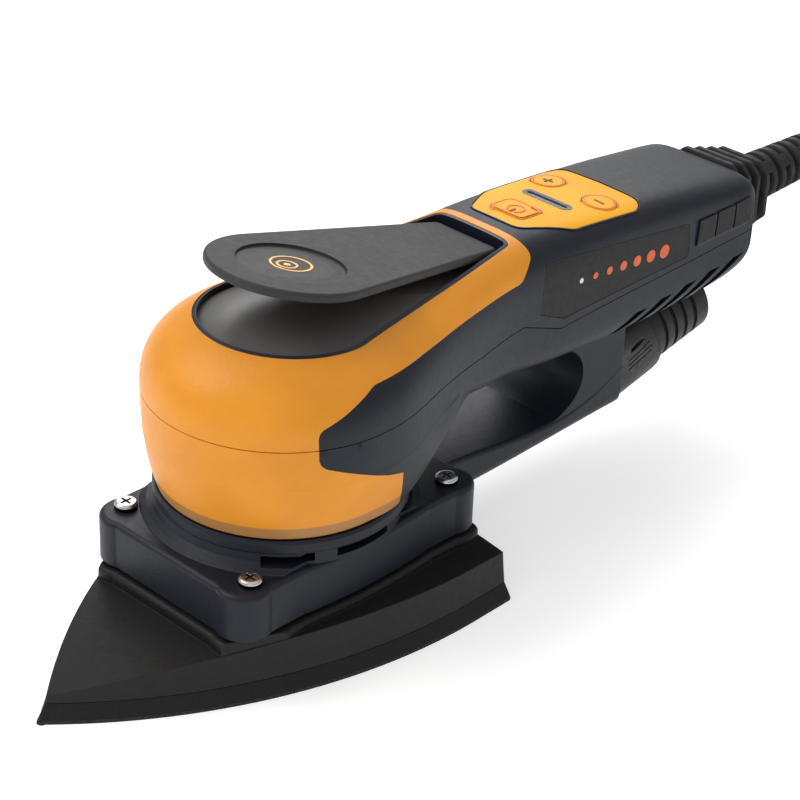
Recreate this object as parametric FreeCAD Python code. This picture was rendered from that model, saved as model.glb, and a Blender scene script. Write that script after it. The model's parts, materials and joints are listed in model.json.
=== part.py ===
"""Corded detail sander with a delta pad, one solid or group of solids per real piece.

Millimetres, +Z up. The origin is on the motor axis, on the sanding face of the pad. The pad's nose
points along -Y, the handle and its cable run along +Y, and the part is symmetric about x = 0.
"""
import FreeCAD, Part
import math
import os

V = FreeCAD.Vector
UP = V(0, 0, 1)

# Pad, a standard 100 x 150 mm delta
PAD_HALF = 50.8
PAD_NOSE_Y = -96.0
PAD_REAR_Y = 58.0
HOOK_TOP = 1.0
FOAM_TOP = 5.8
PLATEAU_TOP = 20.5

# Shroud and the collar round the motor head
SHROUD_BOTTOM = 21.5
SHROUD_TOP = 37.0
WALL = 2.4
COLLAR_R = 39.4
COLLAR_TOP = 46.2
FRONT_SCREWS = (28.0, -38.2)
REAR_SCREWS = (27.5, 44.9)
COLLAR_WINDOWS = [(50.0, 12.0), (88.5, 15.0), (130.0, 10.0)]

# Motor head and handle
HEAD_R = 42.5
HEAD_TOP = 105.0
HEAD_WIDEST_Z = 80.0
HEAD_BOTTOM = 46.8
HEAD_DEPTH = 60.0
HANDLE_END = 201.8
BLEND_END = 50.0
SEAM = 0.3

# Lever and the well under it
LEVER_TILT = 11.4
LEVER_THICK = 3.0
LEVER_REAR_Y = 79.6
LEVER_REAR_TOP = 101.3
LEVER_LENGTH = 103.8
LEVER_DISC_U = 78.0
PIVOT_Y = 75.0
PIVOT_Z = 96.9
PIN_R = 1.5
LUG_X = (-9.4, 9.4)

# Screws that close the handle, from below
HOUSING_SCREWS = [(-15.0, 91.0), (15.0, 91.0), (-15.0, 180.0), (15.0, 180.0)]

# Keys on the control panel
KEY_TRAVEL = 0.8
KEY_GAP = 0.3
KEY_SPOTS = {"plus_button": (-11.1, 130.5), "minus_button": (11.1, 130.5), "power_button": (0.0, 102.2)}
KEY_R = 5.6
SWITCH_TOP = 92.6

# Motor
SHAFT_R = 5.0
ORBIT_OFFSET = 1.5
RUN_GAP = 0.05

# Dust outlet
OUTLET_TILT = math.radians(11.5)
OUTLET_POINT = V(0, 173.2, 37.6)
SPIGOT_R = 14.0
SPIGOT_BORE = 12.0

# Mains cable
CABLE_D = 7.2
SLEEVE_END = V(0, 272, 75.2)
SLEEVE_START = V(0, 226, 75.4)
COIL_CENTRE = V(15, 356, 0)
COIL_R = 43.0
COIL_ROWS = 3
LEAD_ROUTE = [
    SLEEVE_END,
    V(-0.5, 288, 73.0),
    V(-3.5, 304, 64.0),
    V(-9.5, 318, 49.0),
    V(-16.0, 331, 33.0),
    V(-20.2, 343, 23.6),
    V(-20.8, 356, 18.0),
]
TAIL_ROUTE = [
    V(65.2, 356, 3.6),
    V(65.1, 345.5, 3.9),
    V(59, 328.5, 6.6),
    V(59, 316, 6.6),
]


def mirror_x(shape):
    return shape.mirror(V(0, 0, 0), V(1, 0, 0))


def turn(shape, origin, axis, degrees):
    placed = shape.copy()
    placed.rotate(origin, axis, degrees)
    return placed


def cylinder(radius, z_low, z_high, x=0.0, y=0.0):
    return Part.makeCylinder(radius, z_high - z_low, V(x, y, z_low))


def ring(r_out, r_in, z_low, z_high, x=0.0, y=0.0):
    return cylinder(r_out, z_low, z_high, x, y).cut(cylinder(r_in, z_low - 1, z_high + 1, x, y))


def box(x0, x1, y0, y1, z0, z1):
    return Part.makeBox(x1 - x0, y1 - y0, z1 - z0, V(x0, y0, z0))


def hull(circles, z=0.0, grow=0.0):
    """Closed wire round circles (x, y, r) given anticlockwise, each pair joined by a tangent."""
    count = len(circles)
    angles = []
    for i in range(count):
        xi, yi, ri = circles[i]
        xj, yj, rj = circles[(i + 1) % count]
        gap = math.hypot(xj - xi, yj - yi)
        angles.append(math.atan2(yj - yi, xj - xi) - math.acos((ri - rj) / gap))
    edges = []
    for i in range(count):
        x, y, r = circles[i]
        start = angles[i - 1]
        end = angles[i]
        while end <= start:
            end += 2 * math.pi
        circle = Part.Circle(V(x, y, z), UP, r + grow)
        edges.append(Part.ArcOfCircle(circle, start, end).toShape())
        xn, yn, rn = circles[(i + 1) % count]
        leave = V(x + (r + grow) * math.cos(end), y + (r + grow) * math.sin(end), z)
        reach = V(xn + (rn + grow) * math.cos(end), yn + (rn + grow) * math.sin(end), z)
        edges.append(Part.LineSegment(leave, reach).toShape())
    return Part.Wire(edges)


def prism(wire, height):
    return Part.Face(wire).extrude(V(0, 0, height))


def soft_prism(wire, height, radius):
    """Prism with its upper outer edges rounded."""
    solid = prism(wire, height)
    top = solid.BoundBox.ZMax
    rim = [e for e in solid.Edges if e.BoundBox.ZMin > top - 0.01]
    return solid.makeFillet(radius, rim)


def side_prism(points, x0, x1):
    """Polygon of (y, z) points pushed along X."""
    loop = [V(x0, y, z) for y, z in points]
    return Part.Face(Part.makePolygon(loop + loop[:1])).extrude(V(x1 - x0, 0, 0))


def side_hull(circles, x0, x1, grow=0.0):
    """Rounded outline of (y, z, r) circles pushed along X."""
    flat = prism(hull(circles, 0.0, grow), x1 - x0)
    flat.rotate(V(0, 0, 0), V(1, 1, 1), 120)
    flat.translate(V(x0, 0, 0))
    return flat


# Motor head and handle

# Distance behind the motor axis, half width, top, height of the widest line, bottom, squareness
STATIONS = [
    (0.0, HEAD_R, HEAD_TOP, HEAD_WIDEST_Z, HEAD_BOTTOM, 2.25),
    (3.0, 42.4, 105.0, 80.0, 46.8, 2.25),
    (8.0, 42.1, 105.0, 80.0, 46.9, 2.25),
    (15.0, 40.9, 105.0, 79.8, 48.0, 2.3),
    (25.0, 38.0, 104.9, 79.3, 52.0, 2.45),
    (35.0, 34.8, 104.7, 78.6, 56.6, 2.7),
    (45.0, 31.8, 104.5, 78.0, 59.8, 2.95),
    (60.0, 28.2, 104.2, 77.5, 60.8, 3.3),
    (75.0, 25.8, 103.9, 77.0, 59.4, 3.7),
    (90.0, 24.8, 103.5, 76.5, 57.0, 4.2),
    (110.0, 24.5, 102.3, 76.0, 55.0, 4.8),
    (135.0, 24.6, 100.1, 75.5, 54.0, 5.2),
    (165.0, 24.9, 97.0, 75.0, 54.2, 5.5),
    (185.0, 24.9, 94.5, 75.0, 55.4, 5.5),
    (195.5, 24.8, 93.1, 75.0, 57.6, 5.5),
    (200.0, 24.0, 92.0, 75.0, 60.0, 5.5),
    (HANDLE_END, 22.6, 90.6, 75.0, 62.6, 5.5),
]


def partner(value, power):
    """Other coordinate of a point on the unit superellipse."""
    return max(1.0 - value ** power, 0.0) ** (1 / power)


def upper_points(power):
    """Points of the unit superellipse from the side to the crown, even along side and top."""
    corner = 0.5 ** (1 / power)
    side = [(partner(corner * i / 5, power), corner * i / 5) for i in range(1, 6)]
    top = [(corner * i / 5, partner(corner * i / 5, power)) for i in range(4, -1, -1)]
    return side + top


def lower_points(power, reach):
    """Points of the unit superellipse from a cut at depth reach up to the side."""
    corner = 0.5 ** (1 / power)
    if reach <= corner:
        return [(partner(reach * i / 7, power), reach * i / 7) for i in range(7, 0, -1)]
    flat = partner(reach, power)
    base = [flat + (corner - flat) * i / 3 for i in range(3)]
    side = [corner * i / 4 for i in range(4, 0, -1)]
    return [(x, partner(x, power)) for x in base] + [(partner(z, power), z) for z in side]


def half_profile(station, inset):
    """Points and end tangents of the right-hand outline at one station, bottom to crown."""
    y, half, top, mid, bottom, power = station
    blend = min(y / BLEND_END, 1.0)
    low_power = 2.5 + 2.0 * blend
    depth = HEAD_DEPTH * (1 - blend) + 1.07 * (mid - bottom) * blend - inset
    half -= inset
    rise = top - inset - mid
    reach = (mid - bottom - inset) / depth
    y -= inset if y > 190 else 0.0
    points = [V(half * x, y, mid - depth * z) for x, z in lower_points(low_power, reach)]
    points.append(V(half, y, mid))
    points += [V(half * x, y, mid + rise * z) for x, z in upper_points(power)]
    step = reach - 0.001
    first = V(half * partner(step, low_power), y, mid - depth * step) - points[0]
    return points, first.normalize(), V(-1, 0, 0)


def shared_parameters():
    """Curve parameters of the outline's points, the same at every station so that the loft stays smooth."""
    points, first, last = half_profile(STATIONS[7], 0.0)
    values = [0.0]
    for a, b in zip(points, points[1:]):
        values.append(values[-1] + a.distanceToPoint(b))
    return [v / values[-1] for v in values]


def outline_edge(points, first, last):
    """Curve through the points, its end tangents as long as the end runs ask for."""
    at = shared_parameters()
    first = first * (points[0].distanceToPoint(points[1]) / (at[1] - at[0]))
    last = last * (points[-1].distanceToPoint(points[-2]) / (at[-1] - at[-2]))
    curve = Part.BSplineCurve()
    curve.interpolate(Points=points, Parameters=at, InitialTangent=first, FinalTangent=last, Scale=False)
    return curve.toShape()


def station_wire(station, inset):
    points, first, last = half_profile(station, inset)
    right = outline_edge(points, first, last)
    base = Part.LineSegment(V(-points[0].x, points[0].y, points[0].z), points[0]).toShape()
    return Part.Wire([right, mirror_x(right), base])


def head_revolve(inset, angle, shrink, z_top):
    """Motor head turned about the motor axis, starting at +X."""
    points, first, last = half_profile(STATIONS[0], inset + shrink)
    bottom = points[0].z
    side = outline_edge(points, first, last)
    crown = V(0, 0, points[-1].z)
    axis = Part.LineSegment(crown, V(0, 0, bottom)).toShape()
    base = Part.LineSegment(V(0, 0, bottom), points[0]).toShape()
    solid = Part.Face(Part.Wire([side, axis, base])).revolve(V(0, 0, 0), UP, angle)
    if z_top is None:
        return solid
    return solid.common(cylinder(2 * HEAD_R, 0, z_top))


def handle_form(inset):
    """Everything behind the motor axis, moved inwards by inset."""
    return Part.makeLoft([station_wire(s, inset) for s in STATIONS], True, False)


def body(inset):
    """The whole outer form, moved inwards by inset."""
    head = head_revolve(inset, -180, 0.0, None)
    drum = head_revolve(inset, 360, 0.5, 68.0)
    return head.fuse([handle_form(inset), drum]).removeSplitter()


def crown(y):
    """Height of the top at a distance behind the motor axis."""
    for a, b in zip(STATIONS, STATIONS[1:]):
        if a[0] <= y <= b[0]:
            return a[2] + (b[2] - a[2]) * (y - a[0]) / (b[0] - a[0])
    return HEAD_TOP


def beyond_colour_line():
    """Space of the dark handle mouldings, behind the line where the yellow moulding stops."""
    line = [
        (85.6, 112), (86.4, 99.6), (79.0, 93.4), (57.0, 92.8), (0.0, 92.6), (-8.0, 89.6),
        (-20.6, 84.2), (-20.2, 72.8), (4.0, 62.4), (11.0, 60.2), (13.6, 40),
    ]
    space = side_prism(line + [(230, 40), (230, 112)], -60, 60)
    for y, radius in ((86.4, 3.0), (79.0, 5.0), (0.0, 8.0), (-20.6, 3.6), (-20.2, 4.4)):
        corner = [e for e in space.Edges if abs(e.CenterOfMass.y - y) < 0.01 and e.BoundBox.XLength > 100]
        space = space.makeFillet(radius, corner)
    return space


def below_parting(gap):
    """Space under the line where the lower mouldings end."""
    line = [(-70, 78.8), (30, 78.6), (58, 77.0), (80, 78.0), (99, 70.6), (144, 72.4), (230, 75.4)]
    line = [(y, z - gap) for y, z in line]
    return side_prism(line + [(230, 20), (-70, 20)], -60, 60)


def teardrop(grow, z_low, z_high):
    """Plan of the lever well, a round front drawn out to a narrow squared rear."""
    circles = [(0, 2.4, 28.6), (12.6, 79.2, 3.6), (-12.6, 79.2, 3.6)]
    return prism(hull(circles, z_low, grow), z_high - z_low)


def floor_space(drop):
    """Space under the well's floor: a dome in front, falling away in a plane to the rear."""
    slope = math.tan(math.radians(9.0))
    rear = 93.6 - drop
    return side_prism([(-60, 60), (-60, rear + 144 * slope), (84, rear), (84, 60)], -60, 60)


def badge_space(side, grow):
    outline = [(92.0, 94.3, 1.5), (89.6, 80.3, 1.5), (101.0, 75.2, 1.5), (162.0, 76.8, 1.5),
               (161.0, 86.2, 1.5)]
    low, high = (14.0, 40.0) if side > 0 else (-40.0, -14.0)
    return side_hull(outline, low, high, grow)


def panel_outline(grow, z_low, z_high):
    circles = [(7.2, 96.4, 4.8), (11.0, 111, 8.0), (13.6, 137.8, 6.2), (0, 139.0, 5.6),
               (-13.6, 137.8, 6.2), (-11.0, 111, 8.0), (-7.2, 96.4, 4.8)]
    return prism(hull(circles, z_low, grow), z_high - z_low)


def leaning_slot(y_top, z_top, y_low, z_low, width, x0, x1):
    """Leaning slot in the side wall."""
    corners = [(y_top, z_top), (y_top + width, z_top), (y_low + width, z_low), (y_low, z_low)]
    return side_prism(corners, x0, x1)


def screw_boss(x, y):
    """Boss, bore and counterbore of one housing screw: what to add and what to take away."""
    add = cylinder(4.2, 56.6, 72.0, x, y)
    take = cylinder(1.5, 50, 80, x, y).fuse(cylinder(3.2, 50, 60.2, x, y))
    return add, take


def housing():
    outer = body(0.0)
    skin = handle_form(0.9)
    cavity = body(WALL).fuse(cylinder(35.6, 30, 60))
    shell = outer.cut(cavity)
    dark = beyond_colour_line()
    low = below_parting(0.0)
    low_gap = below_parting(SEAM)
    well_hole = teardrop(0.0, 70, 120)

    yellow = shell.cut(dark)
    cover = yellow.cut(low).cut(well_hole)
    skirt = yellow.common(low_gap)
    navy = shell.common(dark).cut(well_hole)
    upper = navy.cut(low).cut(panel_outline(0.15, 84, 120))
    lower = navy.common(low_gap)
    boot_hole = box(-11.6, 11.6, 190, 215, 66.2, 84.2)
    upper = upper.cut(boot_hole)
    lower = lower.cut(boot_hole)
    for side in (1, -1):
        x0, x1 = (16, 30) if side > 0 else (-30, -16)
        upper = upper.cut(badge_space(side, 0.15).cut(skin))
        for i in range(3):
            y = 167.6 + 10.0 * i
            upper = upper.cut(leaning_slot(y, 87.0, y - 0.8, 78.4, 8.8, x0, x1).cut(skin))
        for i in range(5):
            y = 138.6 + 12.75 * i
            z = 62.2 + 1.0 * i
            lower = lower.cut(leaning_slot(y, z, y - 17.6, z - 9.4, 6.0, x0, x1))
    for x, y in HOUSING_SCREWS:
        add, take = screw_boss(x, y)
        lower = lower.fuse(add.common(body(0.6))).cut(take)

    rim = teardrop(-0.15, 91.5, 120).common(body(0.2)).cut(teardrop(-1.35, 80, 120))
    rim = rim.cut(lever_pin(PIN_R))
    well = teardrop(-1.35, 80, 120).common(body(2.2).common(floor_space(0.0)))
    well = well.cut(body(4.2).common(floor_space(2.2)))
    for x in LUG_X:
        well = well.cut(box(x - 2.2, x + 2.2, 69.0, 80.5, 80, 110))
    badges = {}
    for name, side in (("badge_right", 1), ("badge_left", -1)):
        badges[name] = badge_space(side, 0.0).common(handle_form(0.05)).cut(skin)
    return {
        "head_cover": cover,
        "head_skirt": skirt,
        "handle_upper_shell": upper,
        "handle_lower_shell": lower.removeSplitter(),
        "lever_rim": rim,
        "lever_well": well,
        **badges,
    }


def key_shape(name, grow, z_low, z_high):
    x, y = KEY_SPOTS[name]
    if name == "power_button":
        corners = [(x - 4.8, y - 3.2, 2.2), (x + 4.8, y - 3.2, 2.2), (x + 4.8, y + 3.2, 2.2),
                   (x - 4.8, y + 3.2, 2.2)]
        return prism(hull(corners, z_low, grow), z_high - z_low)
    return cylinder(KEY_R + grow, z_low, z_high, x, y)


def keys():
    """Control panel with its three keys and the indicator window."""
    panel = panel_outline(0.0, 84, 120).common(handle_form(0.0)).cut(handle_form(2.0))
    raised = handle_form(-0.2)
    under = handle_form(2.6)
    pieces = {}
    for name, (x, y) in KEY_SPOTS.items():
        panel = panel.cut(key_shape(name, KEY_GAP, 84, 120))
        if name == "minus_button":
            pieces[name] = mirror_x(pieces["plus_button"])
            continue
        cap = key_shape(name, 0.0, 88, 120).common(raised).cut(under)
        stem = cylinder(1.6, SWITCH_TOP + KEY_TRAVEL + 0.1, crown(y) - 1.2, x, y)
        pieces[name] = cap.fuse(stem).removeSplitter()
    slot = [(-7.6, 117.3, 1.7), (7.6, 117.3, 1.7)]
    panel = panel.cut(prism(hull(slot, 84), 36))
    lens = prism(hull(slot, 84, -0.05), 36).common(handle_form(0.35))
    pieces["indicator_lens"] = lens.cut(handle_form(2.4))
    pieces["control_panel"] = panel
    return pieces


# Lever, drawn level with its top rear edge at the origin, then tipped up about that edge

def lever_pin(radius):
    """Pivot pin, its ends held in the walls of the well."""
    return Part.makeCylinder(radius, 31.6, V(-15.8, PIVOT_Y, PIVOT_Z), V(1, 0, 0))


def tip_lever(shape):
    placed = shape.copy()
    placed.rotate(V(0, 0, 0), V(1, 0, 0), -LEVER_TILT)
    placed.translate(V(0, LEVER_REAR_Y, LEVER_REAR_TOP))
    return placed


def lever_outline(z, grow):
    front_r = LEVER_LENGTH - LEVER_DISC_U
    return hull([(0, -LEVER_DISC_U, front_r), (11.0, -2.6, 2.6), (-11.0, -2.6, 2.6)], z, grow)


def lever_parts():
    plate = prism(lever_outline(-LEVER_THICK, 0.0), LEVER_THICK)
    edges = [e for e in plate.Edges if abs(e.BoundBox.ZMax - e.BoundBox.ZMin) < 0.01]
    plate = plate.makeFillet(1.1, edges)
    dish = cylinder(16.6, -0.9, 5, 0, -LEVER_DISC_U)
    plate = plate.cut(dish)
    magnet_hole = cylinder(2.5, -LEVER_THICK - 1, -1.6, 0, -60)
    plate = tip_lever(plate.cut(magnet_hole))
    for x in LUG_X:
        lug = side_hull([(PIVOT_Y, PIVOT_Z, 2.6), (PIVOT_Y - 2.6, 99.9, 1.0)], x - 1.5, x + 1.5)
        root = side_hull([(PIVOT_Y + 1.4, 99.6, 0.9), (PIVOT_Y - 6.4, 100.9, 0.9)], x - 1.5, x + 1.5)
        plate = plate.fuse([lug, root])
    plate = plate.cut(lever_pin(PIN_R + RUN_GAP)).removeSplitter()
    disc = tip_lever(cylinder(16.4, -0.9, -0.35, 0, -LEVER_DISC_U))
    magnet = tip_lever(cylinder(2.4, -LEVER_THICK, -1.7, 0, -60))
    return {"lever": plate, "lever_disc": disc, "lever_magnet": magnet, "lever_pivot_pin": lever_pin(PIN_R)}


def lever_spring():
    """Return spring between the well's floor and the lever."""
    wire_r = 0.35
    low = 98.05
    helix = Part.makeHelix(1.0, 3.0, 2.2)
    profile = Part.Wire(Part.makeCircle(wire_r, V(2.2, 0, 0), V(0, 1, 0)))
    coil = Part.Wire(helix).makePipeShell([profile], True, True)
    coil.translate(V(0, 61.0, low))
    return coil


# Collar, shroud and dust duct

def collar():
    """Ring the motor head sits in, standing on the shroud, with cooling windows at the sides."""
    inner = 36.3
    outline = [V(34.6, 0, SHROUD_TOP), V(37.9, 0, SHROUD_TOP), V(38.2, 0, 41.4), V(39.0, 0, 41.8),
               V(COLLAR_R, 0, 42.4), V(COLLAR_R, 0, 45.2), V(38.8, 0, COLLAR_TOP),
               V(inner, 0, COLLAR_TOP), V(inner, 0, 38.4), V(34.6, 0, 38.2)]
    wall = Part.Face(Part.makePolygon(outline + outline[:1])).revolve(V(0, 0, 0), UP, 360)
    flank = [V(37.0, 0, SHROUD_TOP), V(43.4, 0, SHROUD_TOP), V(41.4, 0, 38.0), V(39.9, 0, 39.6),
             V(39.0, 0, 42.2), V(37.0, 0, 42.2)]
    skirt = Part.Face(Part.makePolygon(flank + flank[:1])).revolve(V(0, 0, 0), UP, 360)
    wall = wall.fuse(skirt.common(prism(hull(shroud_circles(8.0), 30, -1.9), 20)))
    for side in (1, -1):
        for centre, half in COLLAR_WINDOWS:
            width = 2 * 38.0 * math.tan(math.radians(half))
            window = box(-width / 2, width / 2, -60, -30, 38.3, 41.2)
            wall = wall.cut(turn(window, V(0, 0, 0), UP, side * centre))
    return wall.removeSplitter()


def shroud_circles(radius):
    return [(-26.2, -39.0, radius), (26.2, -39.0, radius), (26.6, 46.0, radius), (-26.6, 46.0, radius)]


def side_bulge(grow, z):
    """Slightly bowed side walls between the corner bosses."""
    r = 36.1 + grow
    right = Part.Arc(V(33.4 + grow, -28, z), V(r, 5, z), V(33.6 + grow, 37, z)).toShape()
    left = Part.Arc(V(-33.6 - grow, 37, z), V(-r, 5, z), V(-33.4 - grow, -28, z)).toShape()
    rear = Part.LineSegment(V(33.6 + grow, 37, z), V(-33.6 - grow, 37, z)).toShape()
    front = Part.LineSegment(V(-33.4 - grow, -28, z), V(33.4 + grow, -28, z)).toShape()
    return Part.Wire([right, rear, left, front])


def shroud_block(grow, z0, z1, radius):
    pieces = [soft_prism(hull(shroud_circles(8.0), z0, grow), z1 - z0, radius)]
    pieces.append(soft_prism(side_bulge(grow, z0), z1 - z0, radius))
    for x, y, r in shroud_circles(8.8):
        boss = cylinder(r + grow, z0, z1, x, y)
        pieces.append(boss.makeFillet(radius, [e for e in boss.Edges if e.BoundBox.ZMin > z1 - 0.01]))
    return pieces[0].fuse(pieces[1:])


def screw_spots():
    spots = []
    for x, y in (FRONT_SCREWS, REAR_SCREWS):
        spots += [(x, y), (-x, y)]
    return spots


def shroud():
    block = shroud_block(0.0, SHROUD_BOTTOM, SHROUD_TOP, 1.8)
    hollow = shroud_block(-WALL, SHROUD_BOTTOM - 5, SHROUD_TOP - 2.5, 1.0)
    block = block.cut(hollow)
    for x, y in screw_spots():
        block = block.fuse(cylinder(5.6, 30.0, SHROUD_TOP - 2.0, x, y).cut(cylinder(1.9, 25, 45, x, y)))
        block = block.cut(cylinder(1.9, 25, 45, x, y))
    block = block.cut(cylinder(34.4, 30, 45))
    throat = box(-17.6, 17.6, 46, 62, 24.0, 35.0)
    block = block.cut(throat)
    return block.removeSplitter()


def shroud_screws():
    """Pan-head screws with a cross recess, at the four corners of the shroud."""
    screws = []
    for x, y in screw_spots():
        head = cylinder(3.65, SHROUD_TOP, SHROUD_TOP + 2.2, x, y)
        head = head.makeFillet(1.1, [e for e in head.Edges if e.BoundBox.ZMin > SHROUD_TOP + 2.1])
        for long_x in (True, False):
            a, b = (2.1, 0.45) if long_x else (0.45, 2.1)
            head = head.cut(box(x - a, x + a, y - b, y + b, SHROUD_TOP + 0.9, SHROUD_TOP + 4))
        screws.append(head.fuse(cylinder(1.75, 24.5, SHROUD_TOP, x, y)))
    return Part.Compound(screws)


def pad_legs():
    """Rubber legs that hang the pad from the shroud and stop it from turning."""
    legs = []
    for x, y in screw_spots():
        outline = [V(0, 0, 20.8), V(4.1, 0, 20.8), V(4.1, 0, 22.8), V(3.0, 0, 24.2),
                   V(3.0, 0, 27.8), V(4.1, 0, 29.4), V(4.1, 0, 30.0), V(0, 0, 30.0)]
        leg = Part.Face(Part.makePolygon(outline + outline[:1])).revolve(V(0, 0, 0), UP, 360)
        leg = leg.cut(cylinder(1.75, 24.5, 40))
        leg.translate(V(x, y, 0))
        legs.append(leg)
    return Part.Compound(legs)


def duct_wire(y, z_low, z_high, half, low_r, high_r):
    """Rounded rectangle across the duct, with its own radius below and above."""
    circles = [(-half + low_r, z_low + low_r, low_r), (half - low_r, z_low + low_r, low_r),
               (half - high_r, z_high - high_r, high_r), (-half + high_r, z_high - high_r, high_r)]
    wire = hull(circles)
    wire.rotate(V(0, 0, 0), V(1, 0, 0), 90)
    wire.translate(V(0, y, 0))
    return wire


def dust_duct():
    """Flat channel from the shroud that turns up into a block under the handle."""
    stations = [(54.05, 21.6, 35.2, 19.4), (80, 21.9, 32.4, 19.4), (104, 22.4, 30.4, 19.0),
                (141, 23.2, 40.0, 18.4)]
    wires = [duct_wire(y, a, b, half, 5.0, 1.6) for y, a, b, half in stations]
    channel = Part.makeLoft(wires, True, False)
    points = [(99, 29.0), (108, 30.6), (114.5, 33.4), (119.0, 38.0), (120.4, 43.6), (119.0, 49.0),
              (115.0, 53.4), (108.0, 58.0)]
    curve = Part.BSplineCurve()
    curve.interpolate([V(-18.3, y, z) for y, z in points])
    rest = [V(-18.3, y, z) for y, z in (points[-1], (141.2, 58.0), (141.2, 29.0), points[0])]
    side = Part.Wire([curve.toShape()] + Part.makePolygon(rest).Edges)
    block = Part.Face(side).extrude(V(36.6, 0, 0))
    duct = channel.fuse(block)
    bore = [(50, 24.0, 32.8, 16.8), (80, 24.2, 30.2, 16.8), (104, 24.6, 28.4, 16.4), (150, 26.6, 41.0, 15.6)]
    hole = Part.makeLoft([duct_wire(y, a, b, half, 1.8, 1.8) for y, a, b, half in bore], True, False)
    return duct.cut(hole).cut(handle_form(-0.05)).removeSplitter()


def along_outlet(shape):
    """Turn a shape drawn along +Z about the origin onto the outlet's axis."""
    placed = shape.copy()
    placed.rotate(V(0, 0, 0), V(1, 0, 0), -90 + math.degrees(OUTLET_TILT))
    placed.translate(OUTLET_POINT)
    return placed


def outlet_collar():
    """Rounded block that turns the duct's section into a circle, with a release latch below."""
    start = duct_wire(141.3, 22.4, 49.6, 17.8, 7.5, 7.5)
    square = 0.5
    end = [(x * square, y * square, 15.1) for x, y in ((-1, -1), (1, -1), (1, 1), (-1, 1))]
    shell = Part.makeLoft([start, along_outlet(hull(end, -9.4))], True, True)
    nose = along_outlet(cylinder(15.6, -9.5, -7.6))
    shell = shell.fuse(nose)
    shell = shell.cut(along_outlet(cylinder(SPIGOT_BORE + 0.6, -40, 0)))
    for side in (1, -1):
        x0, x1 = (14.4, 20) if side > 0 else (-20, -14.4)
        grip = [(147, 42.4), (158, 44.4), (158, 42.8), (147, 40.8)]
        shell = shell.cut(side_prism(grip, x0 + 0.8 * side, x1))
        for i in range(3):
            z = 38.6 - 1.9 * i
            line = [(146, z), (160, z + 2.8), (160, z + 2.3), (146, z - 0.5)]
            shell = shell.cut(side_prism(line, x0 + 1.0 * side, x1))
    latch = box(-5.5, 5.5, 144, 157, 18.2, 23.6)
    latch = latch.makeFillet(1.0, latch.Edges)
    latch = latch.cut(along_outlet(cylinder(SPIGOT_BORE + 0.6, -40, 0)))
    return shell.fuse(latch).removeSplitter()


def outlet_spigot():
    """Ribbed hose spigot that swivels in the collar."""
    tube = cylinder(13.0, -7.3, 20.6).fuse(cylinder(SPIGOT_BORE + 0.5, -12.0, -7.3))
    for i in range(4):
        tube = tube.fuse(ring(SPIGOT_R, 12.6, -6.6 + 5.2 * i, -3.2 + 5.2 * i))
    tube = tube.fuse(ring(SPIGOT_R, 12.6, 14.4, 20.6))
    tube = tube.cut(cylinder(SPIGOT_BORE, -20, 40))
    return along_outlet(tube)


# Pad

def pad_wire(z, grow):
    nose = 1.6
    right = Part.Arc(V(nose, PAD_NOSE_Y + 1.6, z), V(38.3, -35, z), V(PAD_HALF, 34, z)).toShape()
    flank = Part.LineSegment(V(PAD_HALF, 34, z), V(50.4, 51.6, z)).toShape()
    corner = Part.Arc(V(50.4, 51.6, z), V(49.8, 53.4, z), V(48.2, 54.3, z)).toShape()
    rear = Part.Arc(V(48.2, 54.3, z), V(0, PAD_REAR_Y, z), V(-48.2, 54.3, z)).toShape()
    low = PAD_NOSE_Y + 1.6
    tip = Part.Arc(V(-nose, low, z), V(0, PAD_NOSE_Y, z), V(nose, low, z)).toShape()
    others = [mirror_x(e) for e in (corner, flank, right)]
    wire = Part.Wire(Part.__sortEdges__([right, flank, corner, rear, tip] + others))
    if grow == 0.0:
        return wire
    return wire.makeOffset2D(grow)


def pad_layer(z0, z1, grow0, grow1):
    return Part.makeLoft([pad_wire(z0, grow0), pad_wire(z1, grow1)], True, True)


def pad_plate():
    """Moulded pad back, thin at the nose, with a raised island under the shroud."""
    plate = pad_layer(FOAM_TOP + 0.15, 30.0, -2.3, -4.0)
    crest = [V(-60, -97, 7.0), V(-60, -79, 11.8), V(-60, -60, 15.2), V(-60, -38, 17.4),
             V(-60, -10, 18.3), V(-60, 20, 18.0), V(-60, 62, 17.0)]
    curve = Part.BSplineCurve()
    curve.interpolate(crest)
    under = [crest[-1], V(-60, 62, 0), V(-60, -97, 0), crest[0]]
    side = Part.Wire([curve.toShape()] + Part.makePolygon(under).Edges)
    plate = plate.common(Part.Face(side).extrude(V(120, 0, 0)))
    island = shroud_block(2.0, 8.0, PLATEAU_TOP, 1.6)
    plate = plate.fuse(island.common(pad_layer(FOAM_TOP + 0.15, 30.0, -2.6, -4.2)))
    recess = cylinder(31.0, 12.5, 40)
    plate = plate.cut(recess).fuse(cylinder(16.5, 10, 22.0, ORBIT_OFFSET, 0))
    plate = plate.cut(cylinder(13.0, 12.8, 40, ORBIT_OFFSET, 0)).cut(cylinder(6.0, -1, 40, ORBIT_OFFSET, 0))
    return plate.removeSplitter()


def pad():
    hook = pad_layer(0.0, HOOK_TOP, 0.0, -0.3)
    foam = pad_layer(HOOK_TOP, FOAM_TOP, -0.3, -2.2)
    holes = [cylinder(6.0, -1, 10, ORBIT_OFFSET, 0)]
    for i in range(6):
        angle = math.radians(60 * i + 30)
        holes.append(cylinder(4.0, -1, 40, 25 * math.cos(angle), 25 * math.sin(angle)))
    for hole in holes:
        hook = hook.cut(hole)
        foam = foam.cut(hole)
    plate = pad_plate()
    for hole in holes[1:]:
        plate = plate.cut(hole)
    return {"pad_hook_layer": hook, "pad_foam": foam, "pad_plate": plate}


# Motor and electronics

def hexagon(x, z, radius):
    corners = [math.pi * i / 3 for i in range(7)]
    return Part.makePolygon([V(x + radius * math.cos(a), radius * math.sin(a), z) for a in corners])


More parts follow.
